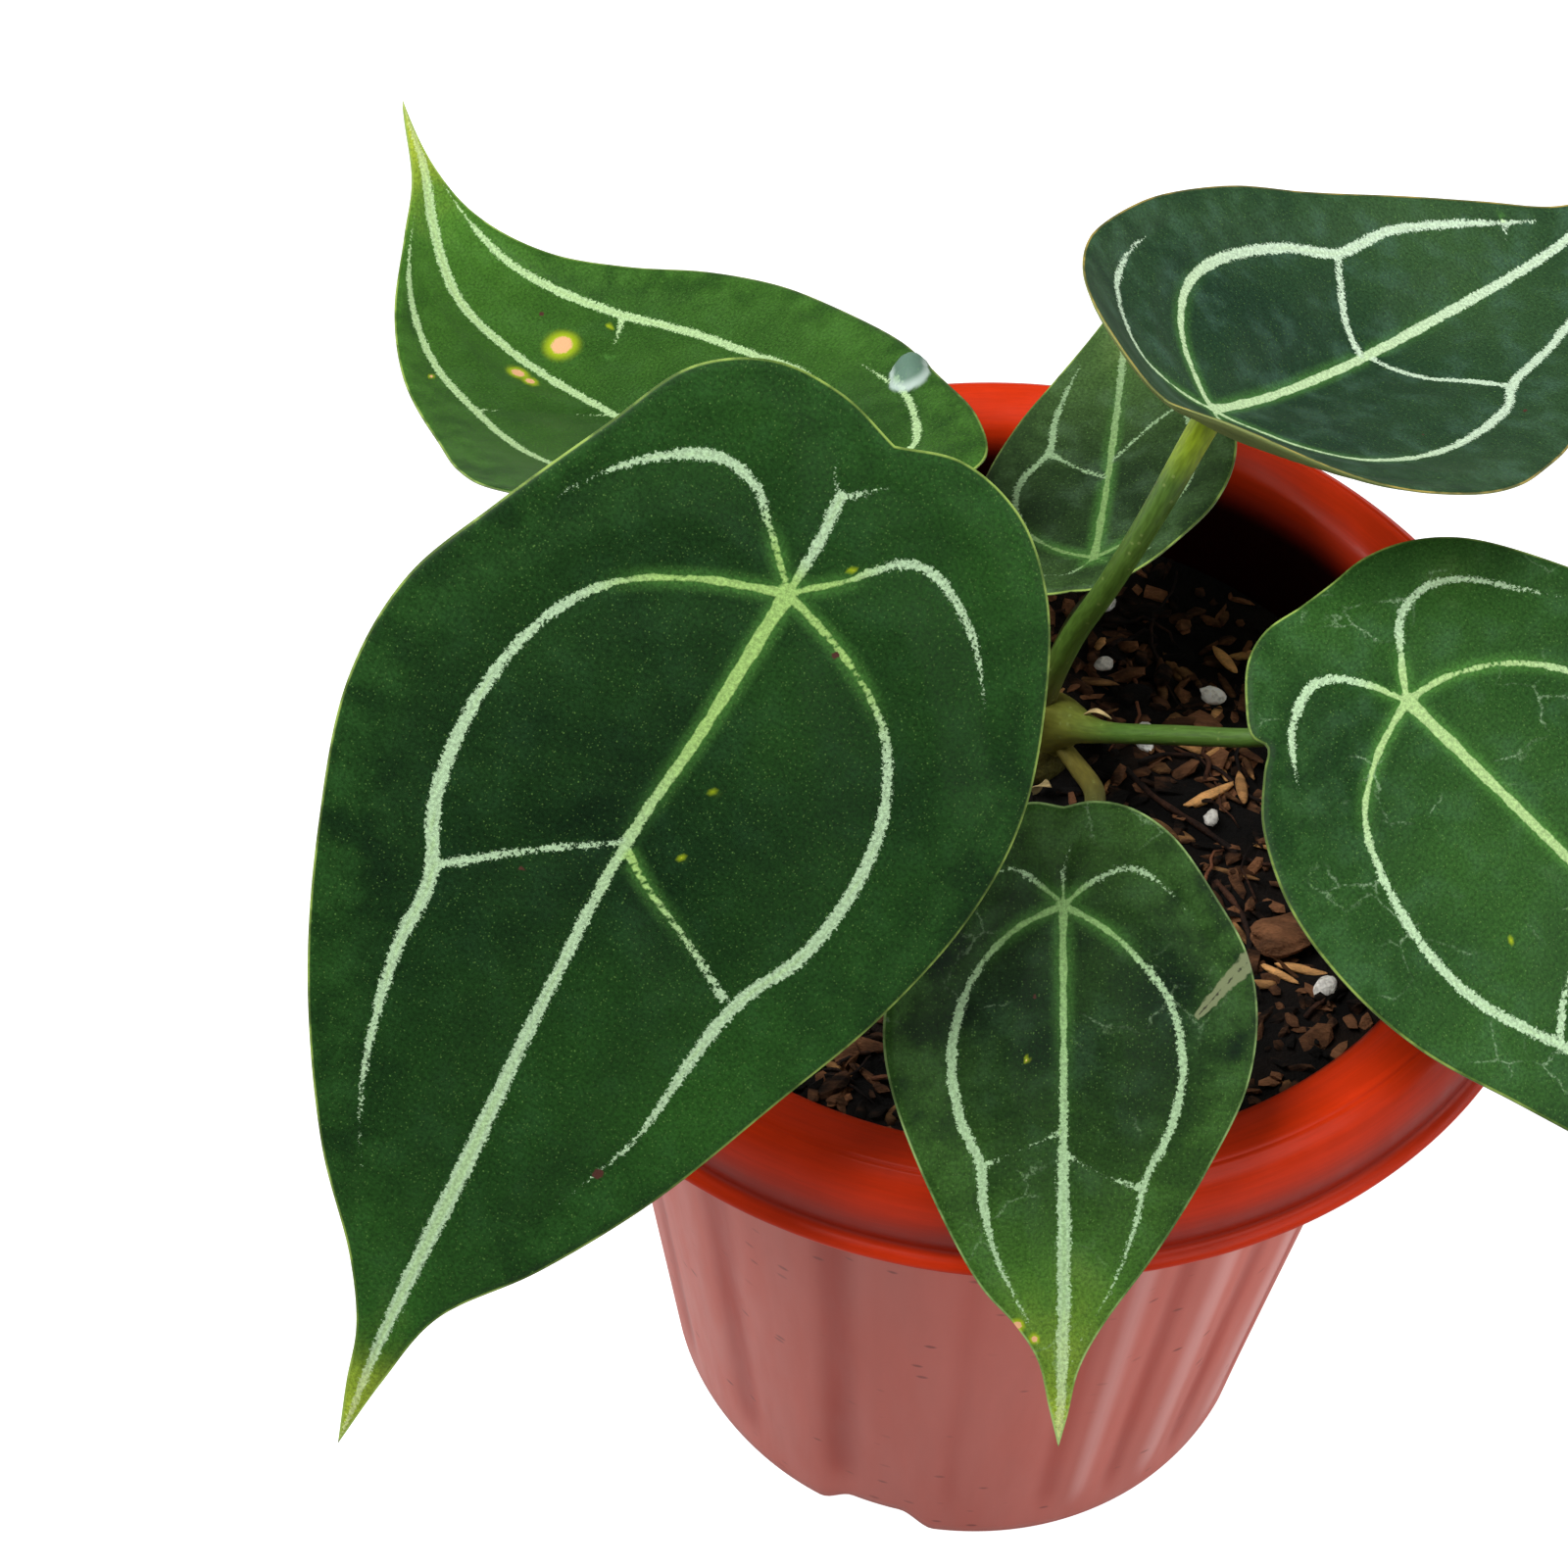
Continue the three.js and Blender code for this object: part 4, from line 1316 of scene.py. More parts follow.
def leaf_back_right() -> Leaf:
    """The blue-green leaf at the back right, its near lobe curled up to show the underside.

    Returns:
        The leaf.
    """
    return Leaf(
        name="back_right", at=(21, 21, 189), heading=-39, pitch=-30, roll=4, length=105,
        arch=(-0.8, 0.16), lobe_arch=-2.6, cup=-0.2, fold=0.29, bow=-0.02,
        notch=(0, -15), tip=(0, 106),
        plus=[(5, -18), (12, -19.5), (19, -16.5), (26, -9), (31, -1), (35, 9), (35.8, 18),
              (34.6, 27.2), (32.6, 37), (27, 52), (19.5, 68), (11.5, 82), (5, 92.5), (1.8, 99)],
        minus=[(-5, -18.5), (-12, -19.5), (-19, -14.5), (-25, -7), (-29, 1), (-32, 13),
               (-32.8, 23.6), (-30.7, 38.2), (-25.7, 50.3), (-18.7, 65.3), (-11.7, 77),
               (-4.8, 87), (-1.5, 96)],
        veins=[
            Vein([(0, 0), (-0.7, 30), (-0.9, 56), (0, 79), (0, 106)],
                 (0.8, 0.7, 0.75, 0.8, 0.7, 0.4), silver=(20, 90)),
            Vein([(0, 0), (5.9, 0.9), (13, 1.6), (18.5, 5), (21.2, 10.9), (22.8, 22),
                  (21.9, 34), (20, 42.2), (17, 47.5), (15, 58), (12.5, 68), (8, 80)],
                 (0.4, 0.4, 0.5, 0.6, 0.65, 0.65, 0.6, 0.3), (1, 1, 1, 1, 1, 1, 0.7),
                 (6, 50)),
            Vein([(0, 0), (-5, 2.2), (-12.7, 6.5), (-19.1, 14.5), (-21.8, 26), (-20, 39.6),
                  (-16.1, 48), (-15.5, 59), (-11.7, 69.3), (-7.9, 76.6), (-4.9, 82)],
                 (0.45, 0.45, 0.7, 0.8, 0.8, 0.7, 0.6, 0.4), (1, 1, 1, 1, 1, 1, 0.8),
                 (6, 50)),
            Vein([(-0.5, 38.5), (7, 40), (12.6, 44.3), (17.3, 47.3)], (0.5, 0.48, 0.52, 0.65)),
            Vein([(-0.7, 37), (-6, 39.3), (-11.6, 43.8), (-15.9, 47.8)], (0.5, 0.5, 0.52, 0.6)),
            Vein([(-7.6, 77.5), (-6, 76.5), (-4.3, 75)], (0.5, 0.2), (1, 0.6)),
            Vein([(0, 0), (6, -5), (12, -9), (18, -8.5), (24, -3), (28, 5)],
                 (0.3, 0.35, 0.3, 0.2), (1, 1, 0.8, 0.5), (4, 20)),
            Vein([(0, 0), (-5.5, -5.4), (-8.8, -7.6), (-12.4, -7.2), (-20.6, -1.6),
                  (-26.2, 8.1), (-28.3, 18.9)], (0.35, 0.35, 0.42, 0.46, 0.38, 0.16),
                 (1, 1, 1, 1, 0.85, 0.5), (4, 20)),
        ],
        stalk=[(2.6, 16.6, 125), (2.8, 16.2, 130.5), (3.8, 15.2, 138.5), (6.4, 14.2, 149.9),
               (9.4, 12.9, 159.6), (12.6, 13.1, 169.1), (15.8, 15.3, 177.2)],
        stalk_radii=(2.3, 1.9, 1.75, 1.7, 1.7, 1.75, 1.9, 2.0),
        finish=LeafFinish("leaf_skin_back_right", deep=tone(22, 48, 30), light=tone(50, 80, 44),
                          young=tone(188, 215, 164), silver=tone(198, 221, 192),
                          rim=tone(176, 152, 74), under=tone(146, 160, 96),
                          haze=tone(66, 96, 82), haze_amount=0.4, gloss=0.1),
        tints=[(-14, 66, 18, 0.5), (14, 60, 16, 0.2), (-14, 20, 16, -0.2), (10, 12, 14, -0.2)],
        spots=[(22.7, 41.8, 0.45, Spot.SPECK), (18.6, 23.1, 0.3, Spot.SPECK)],
        stalk_finish=StalkFinish("stalk_skin_back_right", base=tone(86, 78, 40),
                                 middle=tone(72, 102, 34), top=tone(156, 182, 34)),
    )


def leaf_right() -> Leaf:
    """The large leaf at the right, hanging forwards over the rim.

    Returns:
        The leaf.
    """
    return Leaf(
        name="right", at=(49.5, -11, 171.5), heading=-126, pitch=-14, roll=8, length=106,
        arch=(0.36, 0.07), lobe_arch=0.2, twist=-0.07, bow=0.045,
        notch=(0, -18.5), tip=(0, 106),
        plus=[(6, -19.3), (11, -18), (15.5, -14.5), (19, -10.3), (18.6, -8), (21.7, -5.8),
              (27.5, -0.8), (33, 9), (34.9, 21), (33.5, 33), (28.5, 46), (21.5, 62), (13, 78),
              (6, 91), (2.4, 98)],
        minus=[(-5.5, -18), (-11.7, -17.6), (-18, -15.3), (-24.2, -10.2), (-31, 2), (-35, 12),
               (-37, 22), (-35.5, 34), (-30.5, 48), (-22.5, 64), (-13.5, 79), (-6, 91),
               (-2.3, 98)],
        veins=[
            Vein([(0, 0), (0.1, 30), (0, 60), (0, 106)], (0.85, 0.65, 0.65, 0.75, 0.8, 0.3),
                 silver=(22, 70)),
            Vein([(0, 0), (9, 2.7), (16.9, 7.7), (21.1, 15), (23.5, 24), (23.3, 33),
                  (20.2, 41.6), (18.2, 46), (17, 56), (13.5, 68), (8.5, 80)],
                 (0.45, 0.35, 0.5, 0.65, 0.7, 0.65, 0.5, 0.2), (1, 1, 1, 1, 1, 0.9, 0.5),
                 (10, 30)),
            Vein([(0, 0), (-7.6, 1.8), (-15.3, 6.7), (-20.5, 14), (-23.3, 24), (-23, 34),
                  (-20, 42), (-18, 47), (-16.5, 58), (-12.5, 70), (-8, 80)],
                 (0.4, 0.35, 0.5, 0.65, 0.7, 0.65, 0.5, 0.2), (1, 1, 1, 1, 1, 0.9, 0.5),
                 (12, 40)),
            Vein([(0, 36), (7, 38.2), (12.9, 40.4), (18.3, 44.3)], (0.35, 0.15, 0.28, 0.5),
                 (1, 0.85, 1, 1)),
            Vein([(0, 36), (-8, 40), (-18, 47)], (0.35, 0.2, 0.45), (1, 0.9, 1)),
            Vein([(0, 0), (2.3, -5.3), (4.5, -8.3), (7.6, -9.8), (14.2, -7.5), (18.2, -3.5),
                  (23, 3)], (0.4, 0.5, 0.6, 0.5, 0.4, 0.2), (1, 1, 1, 1, 0.8, 0.6), (2, 8)),
            Vein([(0, 0), (-4.8, -5.1), (-8.5, -8.3), (-13, -9.3), (-18.4, -7.3),
                  (-23.7, -0.4), (-28, 6)], (0.45, 0.5, 0.52, 0.46, 0.3),
                 (1, 1, 1, 0.9, 0.7), (3, 10)),
            Vein([(0, 0), (0.2, -6)], (0.4, 0.1), (0.9, 0.3), (1, 4)),
        ],
        stalk=[(2.8, 16.2, 124), (4.3, 16, 127.5), (5.5, 14.4, 130), (6.9, 12.5, 132.2),
               (8.6, 10.4, 134.2), (10.4, 8.3, 136.2), (12.4, 6.2, 138.5), (15, 3.8, 141.5),
               (18.3, 1.5, 144.6), (22.1, -1, 148), (26.6, -3.7, 151.6), (30.9, -6.1, 155),
               (41.5, -8.3, 161)],
        stalk_radii=(4.3, 4.7, 3.5, 2.3, 1.65, 1.45, 1.42, 1.4, 1.4, 1.36, 1.34, 1.3, 1.3, 1.3,
                     1.3, 1.4, 1.5),
        finish=LeafFinish("leaf_skin_right", deep=tone(12, 42, 14), light=tone(46, 86, 31),
                          young=tone(166, 198, 130), haze=tone(70, 104, 80),
                          haze_amount=0.18, chalk_amount=0.3, gloss=0.13),
        tints=[(4, 26, 22, 0.5), (-19, -8, 12, 0.6), (16, 2, 10, -0.15), (27, 24, 9, -0.2),
               (30, 40, 12, 0.35), (0, -14, 7, 0.3)],
        spots=[(15.0, 26.0, 0.14, Spot.DRY), (14.2, 31.2, 0.2, Spot.DRY)],
        stalk_finish=StalkFinish("stalk_skin_right", base=tone(116, 116, 44),
                                 middle=tone(78, 112, 42), top=tone(110, 150, 50)),
    )


def leaf_front() -> Leaf:
    """The small leaf that hangs over the front of the rim.

    Returns:
        The leaf.
    """
    return Leaf(
        name="front", at=(7.8, -50, 171), heading=-172, pitch=-40, roll=-3, length=71,
        arch=(0.12, 0.15), lobe_arch=0.1, cup=0.05, bow=-0.01,
        notch=(0, -12.2), tip=(0.2, 69.4),
        plus=[(4.5, -12.7), (11.6, -9), (17.5, -0.5), (21.3, 8.5), (22.5, 16), (21.2, 24),
              (16.3, 36.6), (10.3, 47.9), (5.8, 53.1), (3, 57.7), (1.5, 64)],
        minus=[(-3.8, -12.9), (-8.5, -12), (-13.7, -8.5), (-19.2, -0.8), (-23.1, 6.3),
               (-24.4, 13.8), (-23.2, 22.7), (-18.3, 33.1), (-12.3, 43.1), (-4.9, 53.6),
               (-2.2, 59), (-0.9, 65)],
        veins=[
            Vein([(0, 0), (0, 30), (-0.2, 52), (0.2, 69.4)], (0.45, 0.4, 0.5, 0.85, 0.75, 0.4),
                 silver=(4, 40)),
            Vein([(0, 0), (5.4, 2.6), (9.3, 6.1), (12.6, 12), (14, 20.2), (12.7, 27),
                  (10.3, 32.5), (10, 37), (8, 45), (4.5, 52), (2.5, 56.6)],
                 (0.35, 0.3, 0.5, 0.6, 0.6, 0.5, 0.35, 0.25), (1, 1, 1, 1, 1, 0.85, 0.7),
                 (6, 16)),
            Vein([(0, 0), (-5.5, 3.2), (-9.3, 6.7), (-13.3, 12), (-15, 20), (-13.5, 28),
                  (-10.2, 34.9), (-9.3, 39.7), (-6.2, 48.1), (-2.7, 54.4)],
                 (0.35, 0.3, 0.45, 0.5, 0.5, 0.4, 0.35, 0.25), (1, 1, 1, 1, 1, 0.85, 0.7),
                 (6, 16)),
            Vein([(9.9, 37), (8.6, 43), (6.0, 49.5), (3.4, 55), (1.5, 63)], (0.3, 0.25, 0.15),
                 (0.95, 0.8, 0.6)),
            Vein([(-2.7, 54.4), (-1.2, 58), (-0.9, 64)], (0.25, 0.15), (0.8, 0.6)),
            Vein([(0.3, 28.3), (4.3, 30.1), (10.3, 32.6)], (0.3, 0.06, 0.4), (1, 0.8, 1)),
            Vein([(-0.3, 31), (-4.5, 33.6), (-9.8, 35.6)], (0.3, 0.08, 0.4), (1, 0.85, 1)),
            Vein([(0, 0), (3.3, -2.8), (6, -4.4), (9.5, -3.8), (13, -0.5)],
                 (0.3, 0.3, 0.25, 0.1), (1, 1, 0.8, 0.35), (2, 6)),
            Vein([(0, 0), (-4.4, -3.3), (-8.5, -4.5), (-12.6, -2.2), (-15.4, 0.8),
                  (-18.1, 4.5)], (0.3, 0.35, 0.35, 0.3, 0.2), (1, 1, 0.95, 0.7, 0.55), (2, 6)),
            Vein([(0, 0), (-0.2, -5.2), (-1.4, -8.2), (-3.4, -9.6)], (0.3, 0.2, 0.15),
                 (1, 0.9, 0.6), (1, 4)),
        ],
        stalk=[(5, 14.2, 127.2), (6.9, 11.8, 127), (9, 8, 128), (11.3, 1.5, 131.5),
               (11.5, -8, 138), (10.5, -20, 146.5), (8.2, -36, 156.5), (7.2, -44.3, 163.6)],
        stalk_radii=(1.2, 1.45, 1.5, 1.45, 1.4, 1.4, 1.4, 1.4, 1.5, 1.7),
        finish=LeafFinish("leaf_skin_front", deep=tone(9, 32, 11), light=tone(60, 100, 33),
                          young=tone(142, 182, 112), silver=tone(168, 200, 154),
                          rim=tone(150, 180, 110), haze=tone(58, 88, 66), haze_amount=0.2,
                          chalk_amount=0.22, gloss=0.12),
        tints=[(0, 71, 8, 2.0), (0, 55, 16, 0.95), (-20, 10, 16, -0.22), (20, 12, 16, -0.22),
               (0, 12, 14, -0.12)],
        spots=[(5.6, 52.9, 0.5, Spot.DRY), (3.5, 54.7, 0.4, Spot.DRY),
               (4.7, 19.1, 0.2, Spot.DRY), (3.7, 11.3, 0.3, Spot.SPECK)],
        scar=[(-25, 5.5), (-22.9, 7.4), (-19.7, 10.6), (-17, 13.7)],
        stalk_finish=StalkFinish("stalk_skin_front", base=tone(112, 104, 46),
                                 middle=tone(96, 96, 50)),
    )


def leaf_back() -> Leaf:
    """The small leaf behind the stalks.

    Returns:
        The leaf.
    """
    return Leaf(
        name="back", at=(7.8, 24.3, 154.8), heading=-6, pitch=-6, roll=-18, length=62,
        arch=(-0.2, -0.05), lobe_arch=-0.1, cup=-0.1, fold=0.07,
        notch=(-2, -7.6), tip=(-2.3, 60),
        plus=[(1.7, -7.3), (7.8, -3.4), (13, 2.8), (16.4, 8.4), (18.1, 15.6), (17.6, 23.7),
              (14.3, 33.9), (8.2, 44.6), (2.2, 52.2), (-0.5, 56)],
        minus=[(-5.7, -8.2), (-11.3, -6.3), (-15.9, -1), (-18.6, 7), (-18.7, 17.4),
               (-15.7, 29), (-11.7, 37.8), (-6.8, 47.8), (-3.6, 55)],
        veins=[
            Vein([(0, 0), (-0.7, 16), (-1.5, 31.9), (-2, 44.5), (-2.3, 60)],
                 (0.55, 0.45, 0.5, 0.5, 0.3), silver=(10, 60)),
            Vein([(0, 0), (3.9, 2.7), (8.3, 6.8), (11.1, 12.4), (12.2, 19.2), (11.3, 24.5),
                  (9.6, 28.4), (8.2, 33), (5.1, 40.8), (2.4, 45.9)],
                 (0.25, 0.25, 0.4, 0.5, 0.45, 0.35, 0.2), (1, 1, 1, 1, 0.9, 0.5), (4, 20)),
            Vein([(0, 0), (-6, 2.2), (-10.8, 6), (-13.4, 12.2), (-13.2, 17), (-10.3, 22.8),
                  (-10.3, 30.3), (-8.4, 39.8), (-5.7, 46.4)],
                 (0.25, 0.25, 0.4, 0.5, 0.5, 0.45, 0.35, 0.2), (1, 1, 1, 1, 0.9, 0.5), (4, 20)),
            Vein([(-1, 20.8), (4.2, 27.9), (8.3, 31.6)], (0.25, 0.15, 0.35)),
            Vein([(-0.9, 17.6), (-4.9, 19.4), (-9.9, 22.5)], (0.35, 0.25, 0.45)),
            Vein([(0, 0), (4.5, -2), (9.2, 1.4), (12.9, 7.6)], (0.2, 0.25, 0.1),
                 (1, 0.85, 0.4), (1, 5)),
            Vein([(0, 0), (-2.9, -3.4), (-5.7, -3.8), (-10.3, -2.4), (-13.6, 1.9)],
                 (0.2, 0.25, 0.1), (1, 0.85, 0.4), (1, 5)),
            Vein([(0, 0), (-0.8, -4)], (0.25, 0.1), (1, 0.5), (1, 3)),
        ],
        stalk=[(3.4, 19.5, 126), (3.5, 19.6, 130.5), (4.1, 20.7, 136), (6.5, 22.8, 143.5)],
        stalk_radii=(1.9, 1.4, 1.2, 1.2, 1.3, 1.5),
        finish=LeafFinish("leaf_skin_back", deep=tone(18, 38, 16), light=tone(62, 92, 42),
                          young=tone(122, 156, 92), silver=tone(142, 172, 128),
                          haze=tone(78, 104, 80), haze_amount=0.3, chalk_amount=0.05),
        tints=[(0, 44, 15, 0.7), (8, 10, 12, -0.1), (-6, 12, 12, -0.2)],
        stalk_finish=StalkFinish("stalk_skin_back", base=tone(110, 90, 60),
                                 middle=tone(84, 100, 40), top=tone(120, 140, 50)),
        rows=150, columns=90,
    )


@dataclass
class Pot:
    """A tapered nursery pot with a rolled rim, upright flutes and notches in its foot."""

    base_radius: float = 48.3
    neck_radius: float = 62.8
    neck_height: float = 126.0
    height: float = 140.5
    wall: float = 2.0
    floor: float = 3.0
    notch_height: float = 4.6
    notch_span: float = 11.5
    notch_from: float = 41.0
    notch_angles: tuple[float, ...] = (-101.5, -11.5, 78.5, 168.5)
    flutes: tuple[tuple[float, float, float], ...] = (
        (-149.0, 2.0, 0.55), (-129.0, 2.6, 0.55), (-108.0, 2.8, 0.5), (-88.0, 2.0, 0.25),
        (-70.0, 2.0, 0.4), (-64.0, 1.6, -0.35), (-57.0, 1.6, 0.45), (-49.5, 1.8, -0.4),
        (-42.0, 1.8, 0.5), (-33.0, 2.0, -0.4), (-25.0, 2.0, 0.45), (-8.0, 2.4, 0.5),
        (12.0, 2.4, 0.45), (32.0, 2.2, 0.5), (52.0, 2.4, 0.45), (72.0, 2.4, 0.5),
        (92.0, 2.2, 0.45), (112.0, 2.4, 0.5), (132.0, 2.4, 0.45), (152.0, 2.2, 0.5),
        (172.0, 2.4, 0.45), (-169.0, 2.2, 0.5))
    flute_depth: float = 0.55
    fade_foot: float = 18.0
    fade_neck: float = 14.0
    waver: float = 0.12
    waver_size: float = 22.0
    notch_reach: float = 60.0
    around: int = 360

    def outer(self, z: Array) -> Array:
        """The body's outside radius at height z: straight from foot to neck."""
        return self.base_radius + (self.neck_radius - self.base_radius) * z / self.neck_height

    def profile(self) -> tuple[Array, Array]:
        """The wall's closed outline from the middle of the foot, out, up, over and back inside.

        Returns:
            The outline as (radius, height), and which stretch each point belongs to: 0 foot,
            1 body, 2 rim, 3 inside.
        """
        inner = self.floor + 2
        walls = np.linspace(1.0, self.neck_height, 60)
        inside = np.linspace(self.neck_height - 2, inner, 30)
        stretches = [
            np.stack([np.linspace(3, self.notch_from - 0.1, 8), np.zeros(8)], axis=1),
            np.stack([np.linspace(self.notch_from, self.base_radius - 0.9, 8), np.zeros(8)],
                     axis=1),
            spline(np.array([(47.7, 0.05), (48.1, 0.35), (48.35, 0.9)]), 3),
            np.stack([self.outer(walls), walls], axis=1),
            spline(np.array([(63.0, 128.5), (63.3, 133), (65.5, 136.4), (69.5, 137.5),
                             (72.6, 135.5), (73.8, 131), (74.6, 127)]), 4),
            spline(np.array([(75.2, 126.4), (76.4, 126.15), (77.3, 126.4), (77.5, 127.0),
                             (77.0, 127.8), (76.1, 128.3)]), 3),
            spline(np.array([(75.75, 128.9), (75.95, 131.5), (75.8, 134.2), (75.0, 136.9),
                             (73.6, 139.2), (72.1, 140.35)]), 5),
            spline(np.array([(71.85, 140.2), (71.3, 140.5), (69, 140.15), (66.6, 139.3),
                             (65.2, 138.4), (63.7, 136.4), (62.3, 132.6),
                             (61.3, 128)]), 5),
            np.stack([self.outer(inside) - self.wall, inside], axis=1),
            np.array([(self.outer(self.floor) - self.wall - 1.5, self.floor + 0.3),
                      (self.outer(self.floor) - self.wall - 4, self.floor), (20, self.floor),
                      (3, self.floor)]),
        ]
        zone = np.concatenate([np.full(len(s), k) for s, k in
                               zip(stretches, (0, 0, 1, 1, 2, 2, 2, 2, 3, 3))])
        return np.vstack(stretches), zone

    def surface(self) -> Surface:
        """The pot, turned about z.

        Each flute pushes the body's outside in by a bell-shaped amount about its angle, fading
        out at the foot and the neck, and noise makes the wall waver. Each notch lifts the foot's
        edge with S-shaped ends, and the body's points below notch_reach shift up in proportion,
        so that the wall starts at the notch.

        Returns:
            The closed surface, with the marks body, inner (painted shade down the inside), crease
            (painted shade in the gap between lip and rim) and flute (above 0 in a groove, and below 0
            on a raised rib, which takes a painted highlight).
        """
        outline, zone = self.profile()
        angle = np.linspace(-pi, pi, self.around, endpoint=False)
        across, along, turn = np.cos(angle), np.sin(angle), np.degrees(angle)
        radius, height = (np.repeat(part[:, None], self.around, axis=1) for part in outline.T)
        kind = np.repeat(zone[:, None], self.around, axis=1)
        body = (kind == 1).astype(float)
        push = np.zeros(self.around)
        for centre, width, depth in self.flutes:
            push += depth * np.exp(-0.5 * (self._apart(turn, centre) / width) ** 2)
        fade = smooth(0, self.fade_foot, height)
        fade = fade * smooth(self.neck_height, self.neck_height - self.fade_neck, height)
        radius = radius - push * fade * body
        places = np.stack([radius * across, radius * along, height * 0.1], axis=-1)
        radius = radius + self.waver * Grain(5).at(places, self.waver_size) * (radius > 30)
        arch = np.zeros(self.around)
        for centre in self.notch_angles:
            off = self.notch_span - np.abs(self._apart(turn, centre))
            arch += self.notch_height * smooth(0, 1, off / (0.6 * self.notch_span))
        foot = (radius > self.notch_from - 0.05) & (kind == 0)
        height = np.where(foot, arch * 0.98, height)
        low = (kind == 1) & (height < self.notch_reach)
        height = np.where(low, height + arch * (1 - height / self.notch_reach), height)
        rings = np.stack([radius * across, radius * along, height], axis=-1)
        made = skin(rings, np.zeros((1, 3)), np.array([[0.0, 0.0, self.floor]]))
        # Painted shade inside the pot: none at the top of the rim, full from 133.5 mm down.
        inner = smooth(139, 133.5, height) * ((kind == 3) | ((kind == 2) & (radius < 66)))
        # Painted shade in the gap above the lip: on the rim's outer slope, between these heights.
        crease_shade = smooth(137, 130.5, height) * smooth(128.0, 128.8, height)
        crease_shade = crease_shade * ((radius > 74.4) & (kind == 2))
        marks = {"body": body, "inner": inner, "crease_shade": crease_shade,
                 "flute": push / self.flute_depth * fade}
        made.marks = {name: np.append(value, [0.0, 0.0]) for name, value in marks.items()}
        return made

    @staticmethod
    def _apart(turn: Array, centre: float) -> Array:
        """Degrees from centre to turn, from -180 to 180."""
        return (turn - centre + 180) % 360 - 180

    def build(self, effects: Effects) -> list[Thing]:
        """Makes the pot and puts it in place of its CAD node.

        Args:
            effects: The shared node groups.
        Returns:
            The pot.
        """
        pot = self.surface().build("pot_shell", PotFinish().make(effects))
        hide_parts("pot")
        return [pot]


@dataclass
class Mix:
    """The potting mix: an uneven dark bed with bark grains, husks, fibres and white lumps."""

    level: float = 120.0
    radius: float = 60.1
    ripple: float = 0.4
    bump: float = 0.9
    wave_rates: Point3 = (0.17, 0.21, 0.11)
    clod: float = 5.5
    crumb: float = 2.2
    flat_width: float = 5.0
    rise: float = 1.6
    rise_width: float = 14.0
    bed_depth: float = 8.0
    stem_at: Point2 = (3.0, 16.0)
    stem_radius: float = 6.2
    rings: int = 90
    around: int = 240
    grains: int = 1500
    chips: int = 130
    slivers: int = 190
    lumps: int = 16
    fibres: int = 110
    fibre_steps: int = 10
    fibre_turn: float = 0.35
    fibre_strides: Point2 = (0.8, 2.2)
    fibre_radii: Point2 = (0.18, 0.5)

    def height(self, x: Array, y: Array) -> Array:
        """The bed's height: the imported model's two crossed waves plus soft noise, flat at the wall.

        Args:
            x, y: Places on the bed.
        Returns:
            One height per place.
        """
        first, second, slant = self.wave_rates
        wave = np.sin(x * first + 1) * np.cos(y * second) + 0.6 * np.sin((x - y) * slant)
        places = np.stack([x, y, np.zeros_like(x)], axis=-1)
        noise = Grain(3, 32).at(places, self.clod) + 0.5 * Grain(4, 48).at(places, self.crumb)
        out = np.hypot(x, y)
        edge = smooth(self.radius, self.radius - self.flat_width, out)
        rise = self.rise * smooth(self.radius - self.rise_width, self.radius, out)
        return self.level + self.ripple * wave + self.bump * noise * edge + rise

    def bed(self) -> Surface:
        """The bed: rings of points over the disc, closed by a flat underside.

        Returns:
            The closed surface.
        """
        out = np.concatenate([np.linspace(0.6, self.radius, self.rings),
                              np.linspace(self.radius, 2, 6)])
        angle = np.linspace(0, 2 * pi, self.around, endpoint=False)
        x, y = out[:, None] * np.cos(angle), out[:, None] * np.sin(angle)
        z = self.height(x, y)
        bottom = self.level - self.bed_depth
        z[self.rings:] = bottom
        rings = np.stack([x, y, z], axis=-1)
        top = float(self.height(np.array(0.0), np.array(0.0)))
        made = skin(rings, np.array([[0.0, 0.0, top]]), np.array([[0.0, 0.0, bottom]]))
        made.marks["kind"] = 0.5 + 0.5 * Grain(9).at(made.points, 6.0)
        return made

    def scatter(self, rng: np.random.Generator, count: int, half: Array, keep: float = 2.0,
                sink: float = 0.2) -> tuple[Array, Array]:
        """Places pieces at random over the bed, clear of the stem and the wall.

        Args:
            rng: The seeded random numbers.
            count: How many pieces.
            half: Each piece's half sizes, one row each.
            keep: The gap kept from the wall and the stem.
            sink: How deep a piece sits, as a share of its half height.
        Returns:
            The places and the half sizes of the pieces kept.
        """
        reach = np.sqrt(rng.uniform(0, 1, count)) * (self.radius - keep)
        turn = rng.uniform(0, 2 * pi, count)
        x, y = reach * np.cos(turn), reach * np.sin(turn)
        free = np.hypot(x - self.stem_at[0], y - self.stem_at[1]) > self.stem_radius + keep
        free &= reach + half.max(axis=1) < self.radius + 0.5
        z = self.height(x, y) + half[:, 2] * (1 - sink)
        return np.stack([x, y, z], axis=1)[free], half[free]

    def pieces(self, seed: int, count: int, low: Point3, high: Point3, shape: Surface,
               tilt: float, wear: float, sink: float = 0.4) -> Surface:
        """Scattered copies of one shape with random sizes, turns and wear.

        Args:
            seed: The seed of the random numbers.
            count: How many to scatter.
            low, high: The least and greatest half sizes.
            shape: The shape that is copied.
            tilt: The greatest tilt from level, in radians.
            wear: How uneven each copy is, as a share of its size.
            sink: How deep each sits in the bed.
        Returns:
            All the copies as one surface.
        """
        rng = np.random.default_rng(seed)
        half = rng.uniform(low, high, (count, 3))
        places, half = self.scatter(rng, count, half, 1.5, sink)
        turns = np.stack([rng.uniform(-tilt, tilt, len(places)),
                          rng.uniform(-tilt, tilt, len(places)),
                          rng.uniform(0, 2 * pi, len(places))], axis=1)
        worn = 1 + rng.uniform(-wear, wear, (len(places), len(shape.points)))
        return spread(shape, places, half, turns, worn)

